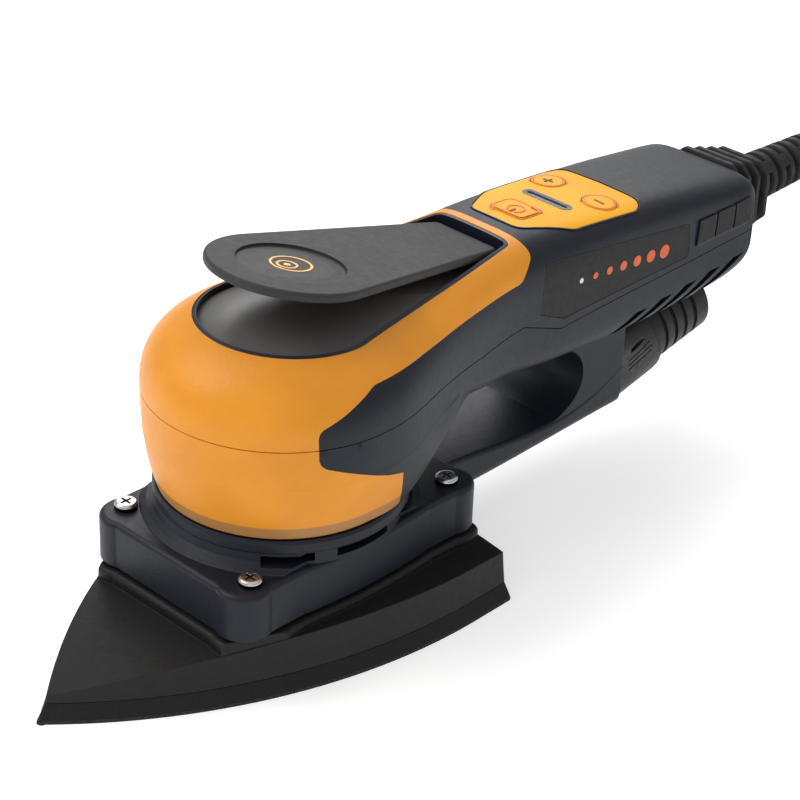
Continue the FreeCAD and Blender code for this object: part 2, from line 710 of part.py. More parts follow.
def motor():
    x = ORBIT_OFFSET
    slots = ring(33.0, 19.2, 60, 84)
    windings = []
    for i in range(9):
        tooth = box(21.5, 28.5, -4.6, 4.6, 57.5, 86.5).cut(box(20, 30, -2.7, 2.7, 60, 84))
        flat = [e for e in tooth.Edges if e.BoundBox.XMax - e.BoundBox.XMin < 0.1]
        tooth = tooth.makeFillet(1.0, flat[:4])
        windings.append(turn(tooth, V(0, 0, 0), UP, 40 * i))
        pocket = box(20.5, 29.0, -4.8, -2.6, 50, 95).fuse(box(20.5, 29.0, 2.6, 4.8, 50, 95))
        slots = slots.cut(turn(pocket, V(0, 0, 0), UP, 40 * i))
        slots = slots.cut(turn(box(18, 21.0, -0.9, 0.9, 50, 95), V(0, 0, 0), UP, 40 * i + 20))
    magnets = []
    for i in range(6):
        arc = ring(18.2, 15.6, 61, 83)
        wedge = side_prism([(-7.2, 50), (7.2, 50), (7.2, 95), (-7.2, 95)], 10, 20)
        magnets.append(turn(arc.common(wedge), V(0, 0, 0), UP, 60 * i))
    shaft = cylinder(SHAFT_R, 30, 94)
    core = ring(15.6, SHAFT_R, 61, 83)
    fan_blades = ring(10.5, SHAFT_R, 44.2, 52.0)
    disc = ring(32.5, SHAFT_R, 44.2, 45.6)
    for i in range(12):
        blade = box(9.5, 31.5, -0.7, 0.7, 45.4, 51.5)
        blade = turn(blade, V(9.5, 0, 0), UP, 22)
        fan_blades = fan_blades.fuse(turn(blade, V(0, 0, 0), UP, 30 * i))
    eccentric = cylinder(11.0, 27.5, 36.0).fuse(cylinder(6.0, 14.2, 27.5, x, 0))
    bolt_shank = cylinder(2.5, 12.6, 24.0, x, 0)
    eccentric = eccentric.cut(cylinder(SHAFT_R, 30, 40)).cut(bolt_shank)
    weight = cylinder(24.0, 28.5, 34.5).common(box(-40, -4, -40, 40, 20, 40)).cut(cylinder(11.0, 20, 40))
    bracket = ring(35.4, 14.0, 53.0, 55.4).fuse(ring(17.0, 14.0, 52.6, 60.0))
    bracket = bracket.fuse(ring(35.4, 33.2, 53.0, 62.0))
    cap = ring(36.0, 11.0, 87.4, 89.4).fuse(ring(13.4, 11.0, 87.4, 94.2))
    cap = cap.fuse(ring(36.0, 33.2, 64.2, 89.4))
    bolt_head = cylinder(5.3, 9.8, 12.6, x, 0).cut(prism(hexagon(x, 9.0, 2.6), 2.6))
    return {
        "stator_core": slots,
        "stator_windings": Part.Compound(windings),
        "rotor_core": core,
        "rotor_magnets": Part.Compound(magnets),
        "motor_shaft": shaft,
        "cooling_fan": disc.fuse(fan_blades).removeSplitter(),
        "eccentric": eccentric,
        "counterweight": weight,
        "pad_bolt": bolt_head.fuse(bolt_shank),
        "lower_bearing_bracket": bracket,
        "upper_bearing_bracket": cap,
        "lower_bearing": ring(14.0, SHAFT_R + RUN_GAP, 52.6, 60.0),
        "upper_bearing": ring(11.0, SHAFT_R + RUN_GAP, 87.4, 94.0),
        "pad_bearing": ring(13.0, 6.0 + RUN_GAP, 13.0, 22.0, x, 0),
    }


def electronics():
    switches = []
    for x, y in KEY_SPOTS.values():
        case = box(x - 3, x + 3, y - 3, y + 3, 89.6, 91.8)
        switches.append(case.fuse(cylinder(1.7, 91.8, SWITCH_TOP, x, y)))
    capacitor = Part.makeCylinder(7.5, 30, V(0, 118, 75.1), V(0, 1, 0))
    screws = []
    for x, y in HOUSING_SCREWS:
        screws.append(cylinder(1.5, 60.2, 71.0, x, y).fuse(cylinder(2.9, 58.4, 60.2, x, y)))
    cable_axis = V(0, 176, 75.0)
    core = Part.makeCylinder(CABLE_D / 2, 191 - cable_axis.y, cable_axis, V(0, 1, 0))
    return {
        "control_board": box(-18, 18, 98, 174, 66.0, 67.6),
        "key_board": box(-15.5, 15.5, 96, 146, 88.0, 89.6),
        "key_switches": Part.Compound(switches),
        "smoothing_capacitor": capacitor,
        "hall_sensor": box(-2.2, 2.2, 17.0, 21.4, 99.0, 100.6),
        "housing_screws": Part.Compound(screws),
        "cord_clamp": box(-11, 11, 185, 190, 70.2, 84.0).cut(core),
        "inner_cable": core,
    }


# Cable, its boot and its plug

def rect_rib(y0, y1, half, z_low, z_high, cut):
    """Flat square rib with cut corners, across the cable."""
    wire = [V(-half + cut, y0, z_low), V(half - cut, y0, z_low), V(half, y0, z_low + cut),
            V(half, y0, z_high - cut), V(half - cut, y0, z_high), V(-half + cut, y0, z_high),
            V(-half, y0, z_high - cut), V(-half, y0, z_low + cut)]
    return Part.Face(Part.makePolygon(wire + wire[:1])).extrude(V(0, y1 - y0, 0))


def cord_boot():
    """Rubber boot in the handle's end: square bellows behind the wall."""
    boot = rect_rib(191, 226, 8.6, 66.4, 82.4, 2.5)
    boot = boot.fuse(rect_rib(191, 196.5, 11.4, 66.4, 84.0, 2.0))
    for i in range(4):
        y = 202.0 + 6.3 * i
        shrink = 0.55 * i
        boot = boot.fuse(rect_rib(y, y + 3.4, 14.6 - shrink, 61.4 + shrink, 92.2 - 3.0 * shrink, 3.2))
    return boot.removeSplitter()


def cord_sleeve():
    """Round ribbed sleeve that stops the cable from kinking."""
    axis = (SLEEVE_END - SLEEVE_START).normalize()
    reach = (SLEEVE_END - SLEEVE_START).Length
    sleeve = Part.makeCone(7.6, 6.0, reach, SLEEVE_START, axis)
    for i in range(8):
        at = SLEEVE_START + axis * (1.0 + 5.4 * i)
        sleeve = sleeve.fuse(Part.makeCylinder(9.0 - 0.2 * i, 3.2, at, axis))
    return sleeve


def cable_tube(route, radius):
    """Straight runs joined by tangent arcs, each as large as its two runs allow."""
    edges = []
    radii = []
    length = 0.0
    last = route[0]
    for i in range(1, len(route) - 1):
        a = route[i] - route[i - 1]
        b = route[i + 1] - route[i]
        angle = a.getAngle(b)
        short = min(a.Length, b.Length)
        bend = 0.45 * short / math.tan(angle / 2)
        radii.append(bend)
        a.normalize()
        b.normalize()
        into = route[i] - a * (0.45 * short)
        out = route[i] + b * (0.45 * short)
        normal = (b - a).normalize()
        centre = route[i] + normal * (bend / math.cos(angle / 2))
        middle = centre - normal * bend
        edges.append(Part.LineSegment(last, into).toShape())
        edges.append(Part.Arc(into, middle, out).toShape())
        length += last.distanceToPoint(into) + bend * angle
        last = out
    edges.append(Part.LineSegment(last, route[-1]).toShape())
    length += last.distanceToPoint(route[-1])
    start = (route[1] - route[0]).normalize()
    profile = Part.Wire(Part.makeCircle(radius, route[0], start))
    tube = Part.Wire(edges).makePipeShell([profile], True, False)
    print("cable radii", [round(r, 1) for r in radii], "length", round(length, 1),
          "volume ratio", round(tube.Volume / (math.pi * radius * radius * length), 4))
    return tube


def cord_coil():
    """Outer shape of nine turns of cable lying three by three."""
    half = COIL_ROWS * CABLE_D / 2
    outline = hull([(COIL_R - half + 3, 3.0, 3.0), (COIL_R + half - 3, 3.0, 3.0),
                    (COIL_R + half - 3, 2 * half - 3, 3.0), (COIL_R - half + 3, 2 * half - 3, 3.0)])
    outline.rotate(V(0, 0, 0), V(1, 0, 0), 90)
    coil = Part.Face(outline).revolve(V(0, 0, 0), UP, 360)
    coil.translate(COIL_CENTRE)
    return coil


def plug():
    """Two-pin mains plug lying on the floor."""
    x, y = TAIL_ROUTE[-1].x, TAIL_ROUTE[-1].y
    z = TAIL_ROUTE[-1].z
    neck = Part.makeCone(5.0, 6.4, 12, V(x, y, z), V(0, -1, 0))
    grip = [(x - 9.5, y - 40, 6.5), (x + 9.5, y - 40, 6.5), (x + 6.4, y - 13, 6.4), (x - 6.4, y - 13, 6.4)]
    slab = prism(hull(grip, 0.0), 2 * z)
    slab = slab.makeFillet(3.0, [e for e in slab.Edges if abs(e.BoundBox.ZMax - e.BoundBox.ZMin) < 0.01])
    shell = slab.fuse(neck)
    pins = []
    for side in (-9.5, 9.5):
        pin = Part.makeCylinder(2.4, 25, V(x + side, y - 40, z), V(0, -1, 0))
        pins.append(pin.makeFillet(1.2, [e for e in pin.Edges if e.BoundBox.YMax < y - 64.9]))
        shell = shell.cut(Part.makeCylinder(2.4, 25, V(x + side, y - 40, z), V(0, -1, 0)))
    return {"plug_body": shell, "plug_pins": Part.Compound(pins)}


def cable():
    return {
        "cord_boot": cord_boot(),
        "cord_sleeve": cord_sleeve(),
        "power_cord": cable_tube(LEAD_ROUTE, CABLE_D / 2),
        "cord_coil": cord_coil(),
        "cord_tail": cable_tube(TAIL_ROUTE, CABLE_D / 2),
        **plug(),
    }


def main():
    pieces = housing()
    pieces.update(keys())
    pieces.update(lever_parts())
    pieces["lever_spring"] = lever_spring()
    pieces["motor_collar"] = collar()
    pieces["shroud"] = shroud()
    pieces["shroud_screws"] = shroud_screws()
    pieces["pad_legs"] = pad_legs()
    pieces["dust_duct"] = dust_duct()
    pieces["outlet_collar"] = outlet_collar()
    pieces["outlet_spigot"] = outlet_spigot()
    pieces.update(pad())
    pieces.update(motor())
    pieces.update(electronics())
    pieces.update(cable())
    os.makedirs("parts", exist_ok=True)
    for name, shape in pieces.items():
        shape.exportStep("parts/" + name + ".step")
        print(name, len(shape.Solids), shape.isValid(), round(shape.Volume, 1))


main()
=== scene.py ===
"""Detail sander: finishes, cable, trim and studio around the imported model."""

import json
import math

import bmesh
import bpy
from bpy.props import FloatProperty, FloatVectorProperty, IntProperty, PointerProperty
from mathutils import Matrix, Vector


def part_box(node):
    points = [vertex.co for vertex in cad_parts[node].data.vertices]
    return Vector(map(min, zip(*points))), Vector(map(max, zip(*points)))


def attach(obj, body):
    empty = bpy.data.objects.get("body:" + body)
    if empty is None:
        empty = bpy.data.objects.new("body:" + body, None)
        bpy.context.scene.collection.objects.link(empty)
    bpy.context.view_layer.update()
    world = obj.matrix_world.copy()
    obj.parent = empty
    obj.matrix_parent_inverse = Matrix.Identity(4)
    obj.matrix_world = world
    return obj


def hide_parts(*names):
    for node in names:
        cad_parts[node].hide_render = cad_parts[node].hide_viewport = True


bl_info = {
    "name": "Detail Sander Dresser",
    "version": (1, 0, 0),
    "blender": (4, 5, 0),
    "location": "View3D > Sidebar > Sander",
    "description": "Dresses a packed detail sander with finishes, trim, cable and a studio",
    "category": "Object",
}

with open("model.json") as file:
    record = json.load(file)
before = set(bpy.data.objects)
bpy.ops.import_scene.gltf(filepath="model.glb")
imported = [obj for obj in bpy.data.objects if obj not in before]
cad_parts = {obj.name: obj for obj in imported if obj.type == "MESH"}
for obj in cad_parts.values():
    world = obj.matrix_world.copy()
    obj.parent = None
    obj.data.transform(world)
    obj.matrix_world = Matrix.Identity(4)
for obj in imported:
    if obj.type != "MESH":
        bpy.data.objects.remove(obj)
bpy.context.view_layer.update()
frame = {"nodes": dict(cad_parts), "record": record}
NODES = frame["nodes"]

MM = 0.001

# The lever is drawn level with its top rear edge at the origin, then tipped about that edge
LEVER_TILT = math.radians(11.4)
LEVER_EDGE = Vector((0.0, 79.6, 101.3)) * MM
LEVER_DISC_Y = -78.0 * MM
LEVER_DISC_Z = -0.46 * MM

# Plan places of the control panel's features
PLUS_KEY = Vector((-11.1, 130.5)) * MM
MINUS_KEY = Vector((11.1, 130.5)) * MM
POWER_KEY = Vector((0.0, 102.2)) * MM
LED_SLOT = Vector((0.0, 117.3)) * MM
# The lines round the keys are painted groove shade, kept only where the groove's wall faces the camera:
# the outer ring on its rearward side, away from the camera, and the inner ring on its forward side. They
# are broken where they turn from facing rearward to facing forward.
AWAY_FROM_CAMERA = Vector((-0.69, 0.72))
PANEL_CORNERS = [
    (7.2, 96.4, 4.8), (11.0, 111.0, 8.0), (13.6, 137.8, 6.2), (0.0, 139.0, 5.6),
    (-13.6, 137.8, 6.2), (-11.0, 111.0, 8.0), (-7.2, 96.4, 4.8),
]
ABOVE_PANEL = 0.115

# Sizes of the trim in millimetres
RING_OUTER, RING_INNER = 6.5, 5.3
LINE_WIDTH = 0.5
SYMBOL_ARM, SYMBOL_STROKE = 2.1, 0.34
POWER_FRAME_OUTER = (7.9, 6.3, 3.0)
POWER_FRAME_INNER = (6.6, 5.0, 2.2)
WINDOW_RIM = (10.1, 2.5, 2.45)
WINDOW_WALL = (9.0, 1.5, 1.45)
# Radius and height of the lever's inlay, from its rim to its middle
LEVER_DISH = [
    (16.3, -0.89), (16.3, -0.84), (15.6, -0.86), (14.8, -0.84), (14.0, -0.76),
    (13.2, -0.64), (12.4, -0.54), (11.4, -0.48), (6.0, -0.46), (0.8, -0.46),
]

# Side badge: first dot, pitch along the handle, and the fall and growth over the row
BADGE_DOTS = 7
FIRST_DOT_Y, FIRST_DOT_Z = 108.0, 84.6
DOT_PITCH, DOT_FALL = 7.0, 3.2
DOT_RADIUS, DOT_GROWTH = 0.9, 1.5

# Recesses at the rear of the handle, leaning forward towards the bottom
WINDOW_COUNT = 3
FIRST_WINDOW_Y, WINDOW_PITCH = 167.6, 10.0
WINDOW_TOP, WINDOW_BOTTOM = 86.9, 78.5
DIVIDERS_Y = (176.9, 186.9)

# Cable boot: square ribs on a narrow neck
BOOT_RIBS = 4
FIRST_RIB_Y, RIB_PITCH, RIB_SHRINK = 202.0, 6.3, 0.55
RIB_HALF, RIB_LOW, RIB_HIGH = 14.6, 61.4, 92.2
BOOT_NECK = (8.7, 66.6, 83.2)

# Cable sleeve: rings joined by bars
SLEEVE_RINGS = 8
RING_START, RING_PITCH, RING_LENGTH = 1.0, 5.4, 3.2
RING_RADIUS, RING_ROOT, RING_SHRINK = 9.0, 5.2, 0.2

# Plug grip: share of its length from the pins, half width and half height
PLUG_SHAPE = [
    (0.0, 15.0, 5.8), (0.02, 15.8, 6.4), (0.12, 16.0, 6.6), (0.24, 15.2, 6.6),
    (0.36, 12.6, 6.4), (0.42, 12.4, 5.9), (0.44, 11.4, 5.9), (0.48, 11.4, 5.9),
    (0.50, 11.9, 5.8), (0.54, 11.7, 5.8), (0.56, 10.7, 5.8), (0.60, 10.7, 5.8),
    (0.62, 11.2, 5.8), (0.68, 10.8, 6.4), (0.76, 9.0, 6.4), (0.82, 6.4, 5.8),
    (0.90, 5.4, 5.2), (0.98, 4.8, 4.8), (1.0, 4.4, 4.4),
]

# Where the lights stand
KEY_PLACE = Vector((-0.75, -0.75, 1.25))
RIM_PLACE = Vector((-0.95, 1.05, 0.95))
FILL_PLACE = Vector((0.9, -1.0, 0.6))

# Route of the cable, from the sleeve to the floor, round the coil and out to the plug
SLEEVE_START = Vector((0.0, 226.0, 75.4)) * MM
SLEEVE_END = Vector((0.0, 272.0, 75.2)) * MM
LEAD_ROUTE = [
    (0.0, 272.0, 75.2),
    (-0.5, 288.0, 73.0),
    (-3.5, 304.0, 64.0),
    (-9.5, 318.0, 49.0),
    (-16.0, 331.0, 33.0),
    (-20.2, 343.0, 23.6),
]
TAIL_ROUTE = [
    (65.1, 345.5, 3.9),
    (59.0, 328.5, 6.6),
    (59.0, 316.0, 6.6),
]
COIL_CENTRE = Vector((15.0, 356.0)) * MM


# Settings a user would change

class StudioSettings(bpy.types.PropertyGroup):
    """Camera and lights."""

    azimuth: FloatProperty(
        name="Azimuth", description="Camera direction round the sander",
        default=math.radians(43.45), subtype="ANGLE",
    )
    elevation: FloatProperty(
        name="Elevation", description="Camera height above the horizon",
        default=math.radians(29.7), subtype="ANGLE",
    )
    roll: FloatProperty(
        name="Roll", description="Camera turn about its own axis",
        default=math.radians(2.21), subtype="ANGLE",
    )
    distance: FloatProperty(
        name="Distance", description="Camera distance from the point it looks at",
        default=0.76815, unit="LENGTH",
    )
    target: FloatVectorProperty(
        name="Target", description="Point the camera looks at",
        default=(0.0, 0.05156, 0.05189), subtype="TRANSLATION",
    )
    lens: FloatProperty(name="Lens", description="Focal length in millimetres", default=108.73)
    key_power: FloatProperty(
        name="Key", description="Power of the large light above", default=10.0, unit="POWER"
    )
    rim_power: FloatProperty(
        name="Rim", description="Power of the light behind", default=9.0, unit="POWER"
    )
    fill_power: FloatProperty(
        name="Fill", description="Power of the light at the side", default=0.7, unit="POWER"
    )
    sky: FloatProperty(
        name="Sky", description="Strength of the white surroundings overhead", default=0.8
    )
    floor_glow: FloatProperty(
        name="Floor glow", description="Light given off by the floor", default=0.4
    )
    horizon: FloatProperty(
        name="Horizon", description="Strength of the surroundings at the horizon", default=0.3
    )


class FinishSettings(bpy.types.PropertyGroup):
    """Colours of the mouldings."""

    yellow: FloatVectorProperty(
        name="Yellow moulding", description="Colour of the motor head",
        default=(0.80, 0.30, 0.018), subtype="COLOR",
    )
    # The band colour makes the skirt darker and browner along its lower bevel.
    band: FloatVectorProperty(
        name="Skirt band", description="Tint of the bevel along the skirt's edge",
        default=(0.42, 0.20, 0.06), subtype="COLOR",
    )
    navy: FloatVectorProperty(
        name="Navy moulding", description="Colour of the handle, shroud and duct",
        default=(0.0095, 0.0115, 0.020), subtype="COLOR",
    )
    panel: FloatVectorProperty(
        name="Panel", description="Colour of the control panel",
        default=(0.98, 0.46, 0.02), subtype="COLOR",
    )
    # In this colour the lines round the keys are painted groove shade; the side dots and the power
    # symbol are print.
    marks: FloatVectorProperty(
        name="Key marks", description="Colour of the lines round the keys and of the side dots",
        default=(0.72, 0.10, 0.01), subtype="COLOR",
    )
    accent: FloatVectorProperty(
        name="Accent", description="Colour of the lever's symbol",
        default=(0.72, 0.42, 0.14), subtype="COLOR",
    )


class CableSettings(bpy.types.PropertyGroup):
    """Mains cable."""

    diameter: FloatProperty(
        name="Diameter", description="Outside diameter of the cable",
        default=7.2 * MM, unit="LENGTH",
    )
    coil_radius: FloatProperty(
        name="Coil radius", description="Radius of the middle of the coil's turns",
        default=43.0 * MM, unit="LENGTH",
    )
    rows: IntProperty(
        name="Rows", description="Turns beside and on each other in the coil", default=3, min=1
    )
    points: IntProperty(
        name="Points", description="Route points in one turn of the coil", default=14, min=12
    )


# Modelling helpers

def clear_selection():
    """Leave edit mode and deselect every object."""
    if bpy.context.object is not None and bpy.context.object.mode != "OBJECT":
        bpy.ops.object.mode_set(mode="OBJECT")
    bpy.ops.object.select_all(action="DESELECT")


def choose(piece):
    """Make one piece the selected and active object."""
    clear_selection()
    piece.select_set(True)
    bpy.context.view_layer.objects.active = piece


def named(name):
    """Name the object that was just added."""
    piece = bpy.context.object
    piece.name = name
    piece.data.name = name
    return piece


def edit(piece):
    choose(piece)
    bpy.ops.object.mode_set(mode="EDIT")


def pick(piece, kind, test):
    """In edit mode, select the VERT, EDGE or FACE elements that pass a test."""
    bpy.ops.mesh.select_mode(type=kind)
    bpy.ops.mesh.select_all(action="DESELECT")
    mesh = bmesh.from_edit_mesh(piece.data)
    elements = {"VERT": mesh.verts, "EDGE": mesh.edges, "FACE": mesh.faces}[kind]
    for element in elements:
        if test(element):
            element.select_set(True)
    mesh.select_flush_mode()
    bmesh.update_edit_mesh(piece.data)


def settle(piece):
    """Put a piece's place, turn and size into its mesh."""
    choose(piece)
    bpy.ops.object.transform_apply(location=True, rotation=True, scale=True)


def apply_modifier(piece, kind, **settings):
    choose(piece)
    modifier = piece.modifiers.new(kind.title(), kind)
    for key, value in settings.items():
        setattr(modifier, key, value)
    bpy.ops.object.modifier_apply(modifier=modifier.name)


def smooth(piece, degrees=35.0):
    choose(piece)
    bpy.ops.object.shade_smooth_by_angle(angle=math.radians(degrees))


def join(pieces, name):
    """Join pieces into the first one."""
    choose(pieces[0])
    for other in pieces[1:]:
        other.select_set(True)
    bpy.ops.object.join()
    return named(name)


def copy_of(piece, name):
    """A copy with its own mesh."""
    twin = piece.copy()
    twin.data = piece.data.copy()
    twin.name = name
    twin.data.name = name
    bpy.context.scene.collection.objects.link(twin)
    return twin


def outline(name, points, corner, height=ABOVE_PANEL, segments=6):
    """Flat rounded polygon through (x, y) points, facing up."""
    clear_selection()
    bpy.ops.mesh.primitive_circle_add(vertices=len(points), radius=0.01, fill_type="NGON")
    piece = named(name)
    edit(piece)
    mesh = bmesh.from_edit_mesh(piece.data)
    for vert, (x, y) in zip(mesh.verts, points):
        vert.co = (x, y, height)
    bmesh.update_edit_mesh(piece.data)
    bpy.ops.mesh.select_all(action="SELECT")
    if corner > 0.0:
        bpy.ops.mesh.bevel(offset=corner, segments=segments, affect="VERTICES")
    bpy.ops.mesh.select_all(action="SELECT")
    bpy.ops.mesh.normals_make_consistent(inside=False)
    bpy.ops.object.mode_set(mode="OBJECT")
    return piece


def hull_points(circles, grow, steps=10):
    """Points in metres round circles (x, y, r) in millimetres, given anticlockwise."""
    turns = []
    for (xi, yi, ri), (xj, yj, rj) in zip(circles, circles[1:] + circles[:1]):
        gap = math.hypot(xj - xi, yj - yi)
        turns.append(math.atan2(yj - yi, xj - xi) - math.acos((ri - rj) / gap))
    points = []
    for index, (x, y, r) in enumerate(circles):
        start = turns[index - 1]
        sweep = (turns[index] - start) % (2 * math.pi)
        for k in range(steps + 1):
            angle = start + sweep * k / steps
            reach = r + grow
            points.append(((x + reach * math.cos(angle)) * MM, (y + reach * math.sin(angle)) * MM))
    return points


def disc(name, x, y, radius, height=ABOVE_PANEL, count=48):
    clear_selection()
    bpy.ops.mesh.primitive_circle_add(
        vertices=count, radius=radius, fill_type="NGON", location=(x, y, height)
    )
    piece = named(name)
    settle(piece)
    return piece


def hollow(piece, width):
    """Turn a flat outline into a line of that width along its edge."""
    edit(piece)
    pick(piece, "FACE", lambda f: True)
    bpy.ops.mesh.inset(thickness=width)
    bpy.ops.mesh.delete(type="FACE")
    bpy.ops.object.mode_set(mode="OBJECT")


def cut_long_edges(piece, cuts):
    """Divide every edge, so that a flat piece can follow a curved wall."""
    edit(piece)
    bpy.ops.mesh.select_all(action="SELECT")
    bpy.ops.mesh.quads_convert_to_tris()
    bpy.ops.mesh.subdivide(number_cuts=cuts)
    bpy.ops.object.mode_set(mode="OBJECT")


def lay_on(piece, target, axis, proud, thickness):
    """Lay a flat piece on a wall along an axis, drop what misses it, and give it a thickness."""
    downward = axis in ("Z", "X")
    before = [vert.co.copy() for vert in piece.data.vertices]
    apply_modifier(
        piece, "SHRINKWRAP", target=target, wrap_method="PROJECT", wrap_mode="ABOVE_SURFACE",
        offset=proud * MM, use_project_x=axis != "Z", use_project_y=False, use_project_z=axis == "Z",
        use_negative_direction=downward, use_positive_direction=not downward,
    )
    edit(piece)
    pick(piece, "VERT", lambda v: (v.co - before[v.index]).length < 0.001 * MM)
    bpy.ops.mesh.delete(type="VERT")
    bpy.ops.object.mode_set(mode="OBJECT")
    apply_modifier(piece, "SOLIDIFY", thickness=thickness * MM, offset=-1.0)
    smooth(piece, 40.0)


def finish_piece(piece, body, finish, replaces=()):
    """Give a piece its finish and its body."""
    piece.data.materials.clear()
    piece.data.materials.append(bpy.data.materials[finish])
    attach(piece, body)
    if replaces:
        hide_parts(*replaces)


# Finishes

class Finish:
    """One material and a few of its nodes."""

    def __init__(self, name, colour, roughness, metallic=0.0, specular=0.5):
        self.material = bpy.data.materials.new(name)
        self.material.use_nodes = True
        self.tree = self.material.node_tree
        self.shader = self.tree.nodes["Principled BSDF"]
        self.shader.inputs["Base Color"].default_value = (*colour, 1.0)
        self.shader.inputs["Roughness"].default_value = roughness
        self.shader.inputs["Metallic"].default_value = metallic
        self.shader.inputs["Specular IOR Level"].default_value = specular
        self.where = self.add("ShaderNodeTexCoord").outputs["Object"]

    def add(self, kind, **values):
        node = self.tree.nodes.new(kind)
        for key, value in values.items():
            setattr(node, key, value)
        return node

    def link(self, source, target):
        self.tree.links.new(source, target)

    def noise(self, scale, detail=2.0, rough=0.5):
        node = self.add("ShaderNodeTexNoise")
        node.inputs["Scale"].default_value = scale
        node.inputs["Detail"].default_value = detail
        node.inputs["Roughness"].default_value = rough
        self.link(self.where, node.inputs["Vector"])
        return node.outputs["Fac"]

    def cells(self, scale, feature="F1"):
        node = self.add("ShaderNodeTexVoronoi", feature=feature)
        node.inputs["Scale"].default_value = scale
        self.link(self.where, node.inputs["Vector"])
        return node.outputs["Distance"]

    def ramp(self, value, low, high, out_low=0.0, out_high=1.0):
        """Map a value from one range to another, without going past its ends."""
        node = self.add("ShaderNodeMapRange")
        numbers = {"From Min": low, "From Max": high, "To Min": out_low, "To Max": out_high}
        for key, number in numbers.items():
            node.inputs[key].default_value = number
        self.link(value, node.inputs["Value"])
        return node.outputs["Result"]

    def mix(self, factor, first, second):
        """Blend two colours, each a colour or another node's output."""
        node = self.add("ShaderNodeMix", data_type="RGBA")
        self.link(factor, node.inputs["Factor"])
        for key, value in (("A", first), ("B", second)):
            socket = [s for s in node.inputs if s.name == key and s.type == "RGBA"][0]
            if isinstance(value, bpy.types.NodeSocket):
                self.link(value, socket)
            else:
                socket.default_value = value
        return [s for s in node.outputs if s.type == "RGBA"][0]

    def maths(self, operation, first, second):
        node = self.add("ShaderNodeMath", operation=operation)
        for socket, value in zip(node.inputs, (first, second)):
            if isinstance(value, bpy.types.NodeSocket):
                self.link(value, socket)
            else:
                socket.default_value = value
        return node.outputs["Value"]

    def axis(self, letter):
        node = self.add("ShaderNodeSeparateXYZ")
        self.link(self.where, node.inputs["Vector"])
        return node.outputs[letter]

    def edges(self, radius):
        """1 on convex and concave edges, 0 on flat walls."""
        bevel = self.add("ShaderNodeBevel", samples=4)
        bevel.inputs["Radius"].default_value = radius
        plain = self.add("ShaderNodeNewGeometry")
        dot = self.add("ShaderNodeVectorMath", operation="DOT_PRODUCT")
        self.link(bevel.outputs["Normal"], dot.inputs[0])
        self.link(plain.outputs["Normal"], dot.inputs[1])
        return self.ramp(dot.outputs["Value"], 0.995, 0.90)

    def paint(self, colour):
        self.link(colour, self.shader.inputs["Base Color"])

    def sheen_range(self, value, low, high):
        self.link(self.ramp(value, 0.3, 0.7, low, high), self.shader.inputs["Roughness"])

    def relief(self, height, depth, soft_edge=0.0):
        """Bump from a height, over edges softened by the given radius."""
        bump = self.add("ShaderNodeBump")
        bump.inputs["Strength"].default_value = 1.0
        bump.inputs["Distance"].default_value = depth
        self.link(height, bump.inputs["Height"])
        if soft_edge > 0.0:
            bevel = self.add("ShaderNodeBevel", samples=4)
            bevel.inputs["Radius"].default_value = soft_edge
            self.link(bevel.outputs["Normal"], bump.inputs["Normal"])
        self.link(bump.outputs["Normal"], self.shader.inputs["Normal"])


def scaled(colour, factor):
    return (*[min(c * factor, 1.0) for c in colour[:3]], 1.0)


def moulded(
    name, colour, roughness=(0.38, 0.5), grain=1500.0, depth=0.04, lift=1.5, soft_edge=0.35, specular=0.5
):
    """Moulded plastic: fine spark-eroded grain, slightly uneven colour, and edges painted paler as a
    painted highlight.
    """
    finish = Finish(name, colour, roughness[0], specular=specular)
    cloud = finish.noise(38.0, 4.0)
    body = finish.mix(finish.ramp(cloud, 0.35, 0.65), scaled(colour, 0.93), scaled(colour, 1.06))
    # Edges are painted paler by the lift factor, in patches set by noise: a painted highlight along
    # convex and concave edges.
    highlit_edges = finish.edges(0.5 * MM)
    highlight_patches = finish.ramp(finish.noise(160.0, 3.0), 0.3, 0.6, 0.25, 1.0)
    edge_highlight = finish.maths("MULTIPLY", highlit_edges, highlight_patches)
    finish.paint(finish.mix(edge_highlight, body, scaled(colour, lift)))
    finish.sheen_range(finish.noise(420.0, 3.0), *roughness)
    fine = finish.noise(grain, 2.0, 0.6)
    coarse = finish.cells(grain * 0.55)
    finish.relief(finish.maths("ADD", fine, coarse), depth * MM, soft_edge * MM)
    return finish


def yellow_skirt(name, colour, band):
    """The yellow moulding, darker and browner on the bevel along its lower edge."""
    finish = moulded(name, colour, (0.36, 0.44), 1300.0, 0.05, 1.2, 0.35, 0.3)
    plain = finish.shader.inputs["Base Color"].links[0].from_socket
    # Below about 51 mm the colour turns to the darker, browner band colour.
    height = finish.axis("Z")
    low = finish.ramp(height, 51.2 * MM, 50.7 * MM)
    finish.paint(finish.mix(low, plain, (*band, 1.0)))
    return finish


def rubber(name, colour, roughness=(0.5, 0.68), grain=900.0, depth=0.05):
    """Matt rubber with a soft bloom and small pits."""
    finish = Finish(name, colour, roughness[0], specular=0.35)
    dust = finish.ramp(finish.noise(70.0, 5.0, 0.65), 0.45, 0.75)
    finish.paint(finish.mix(dust, scaled(colour, 0.85), scaled(colour, 1.5)))
    finish.sheen_range(finish.noise(300.0, 3.0), *roughness)
    finish.relief(finish.noise(grain, 3.0, 0.6), depth * MM, 0.3 * MM)
    return finish


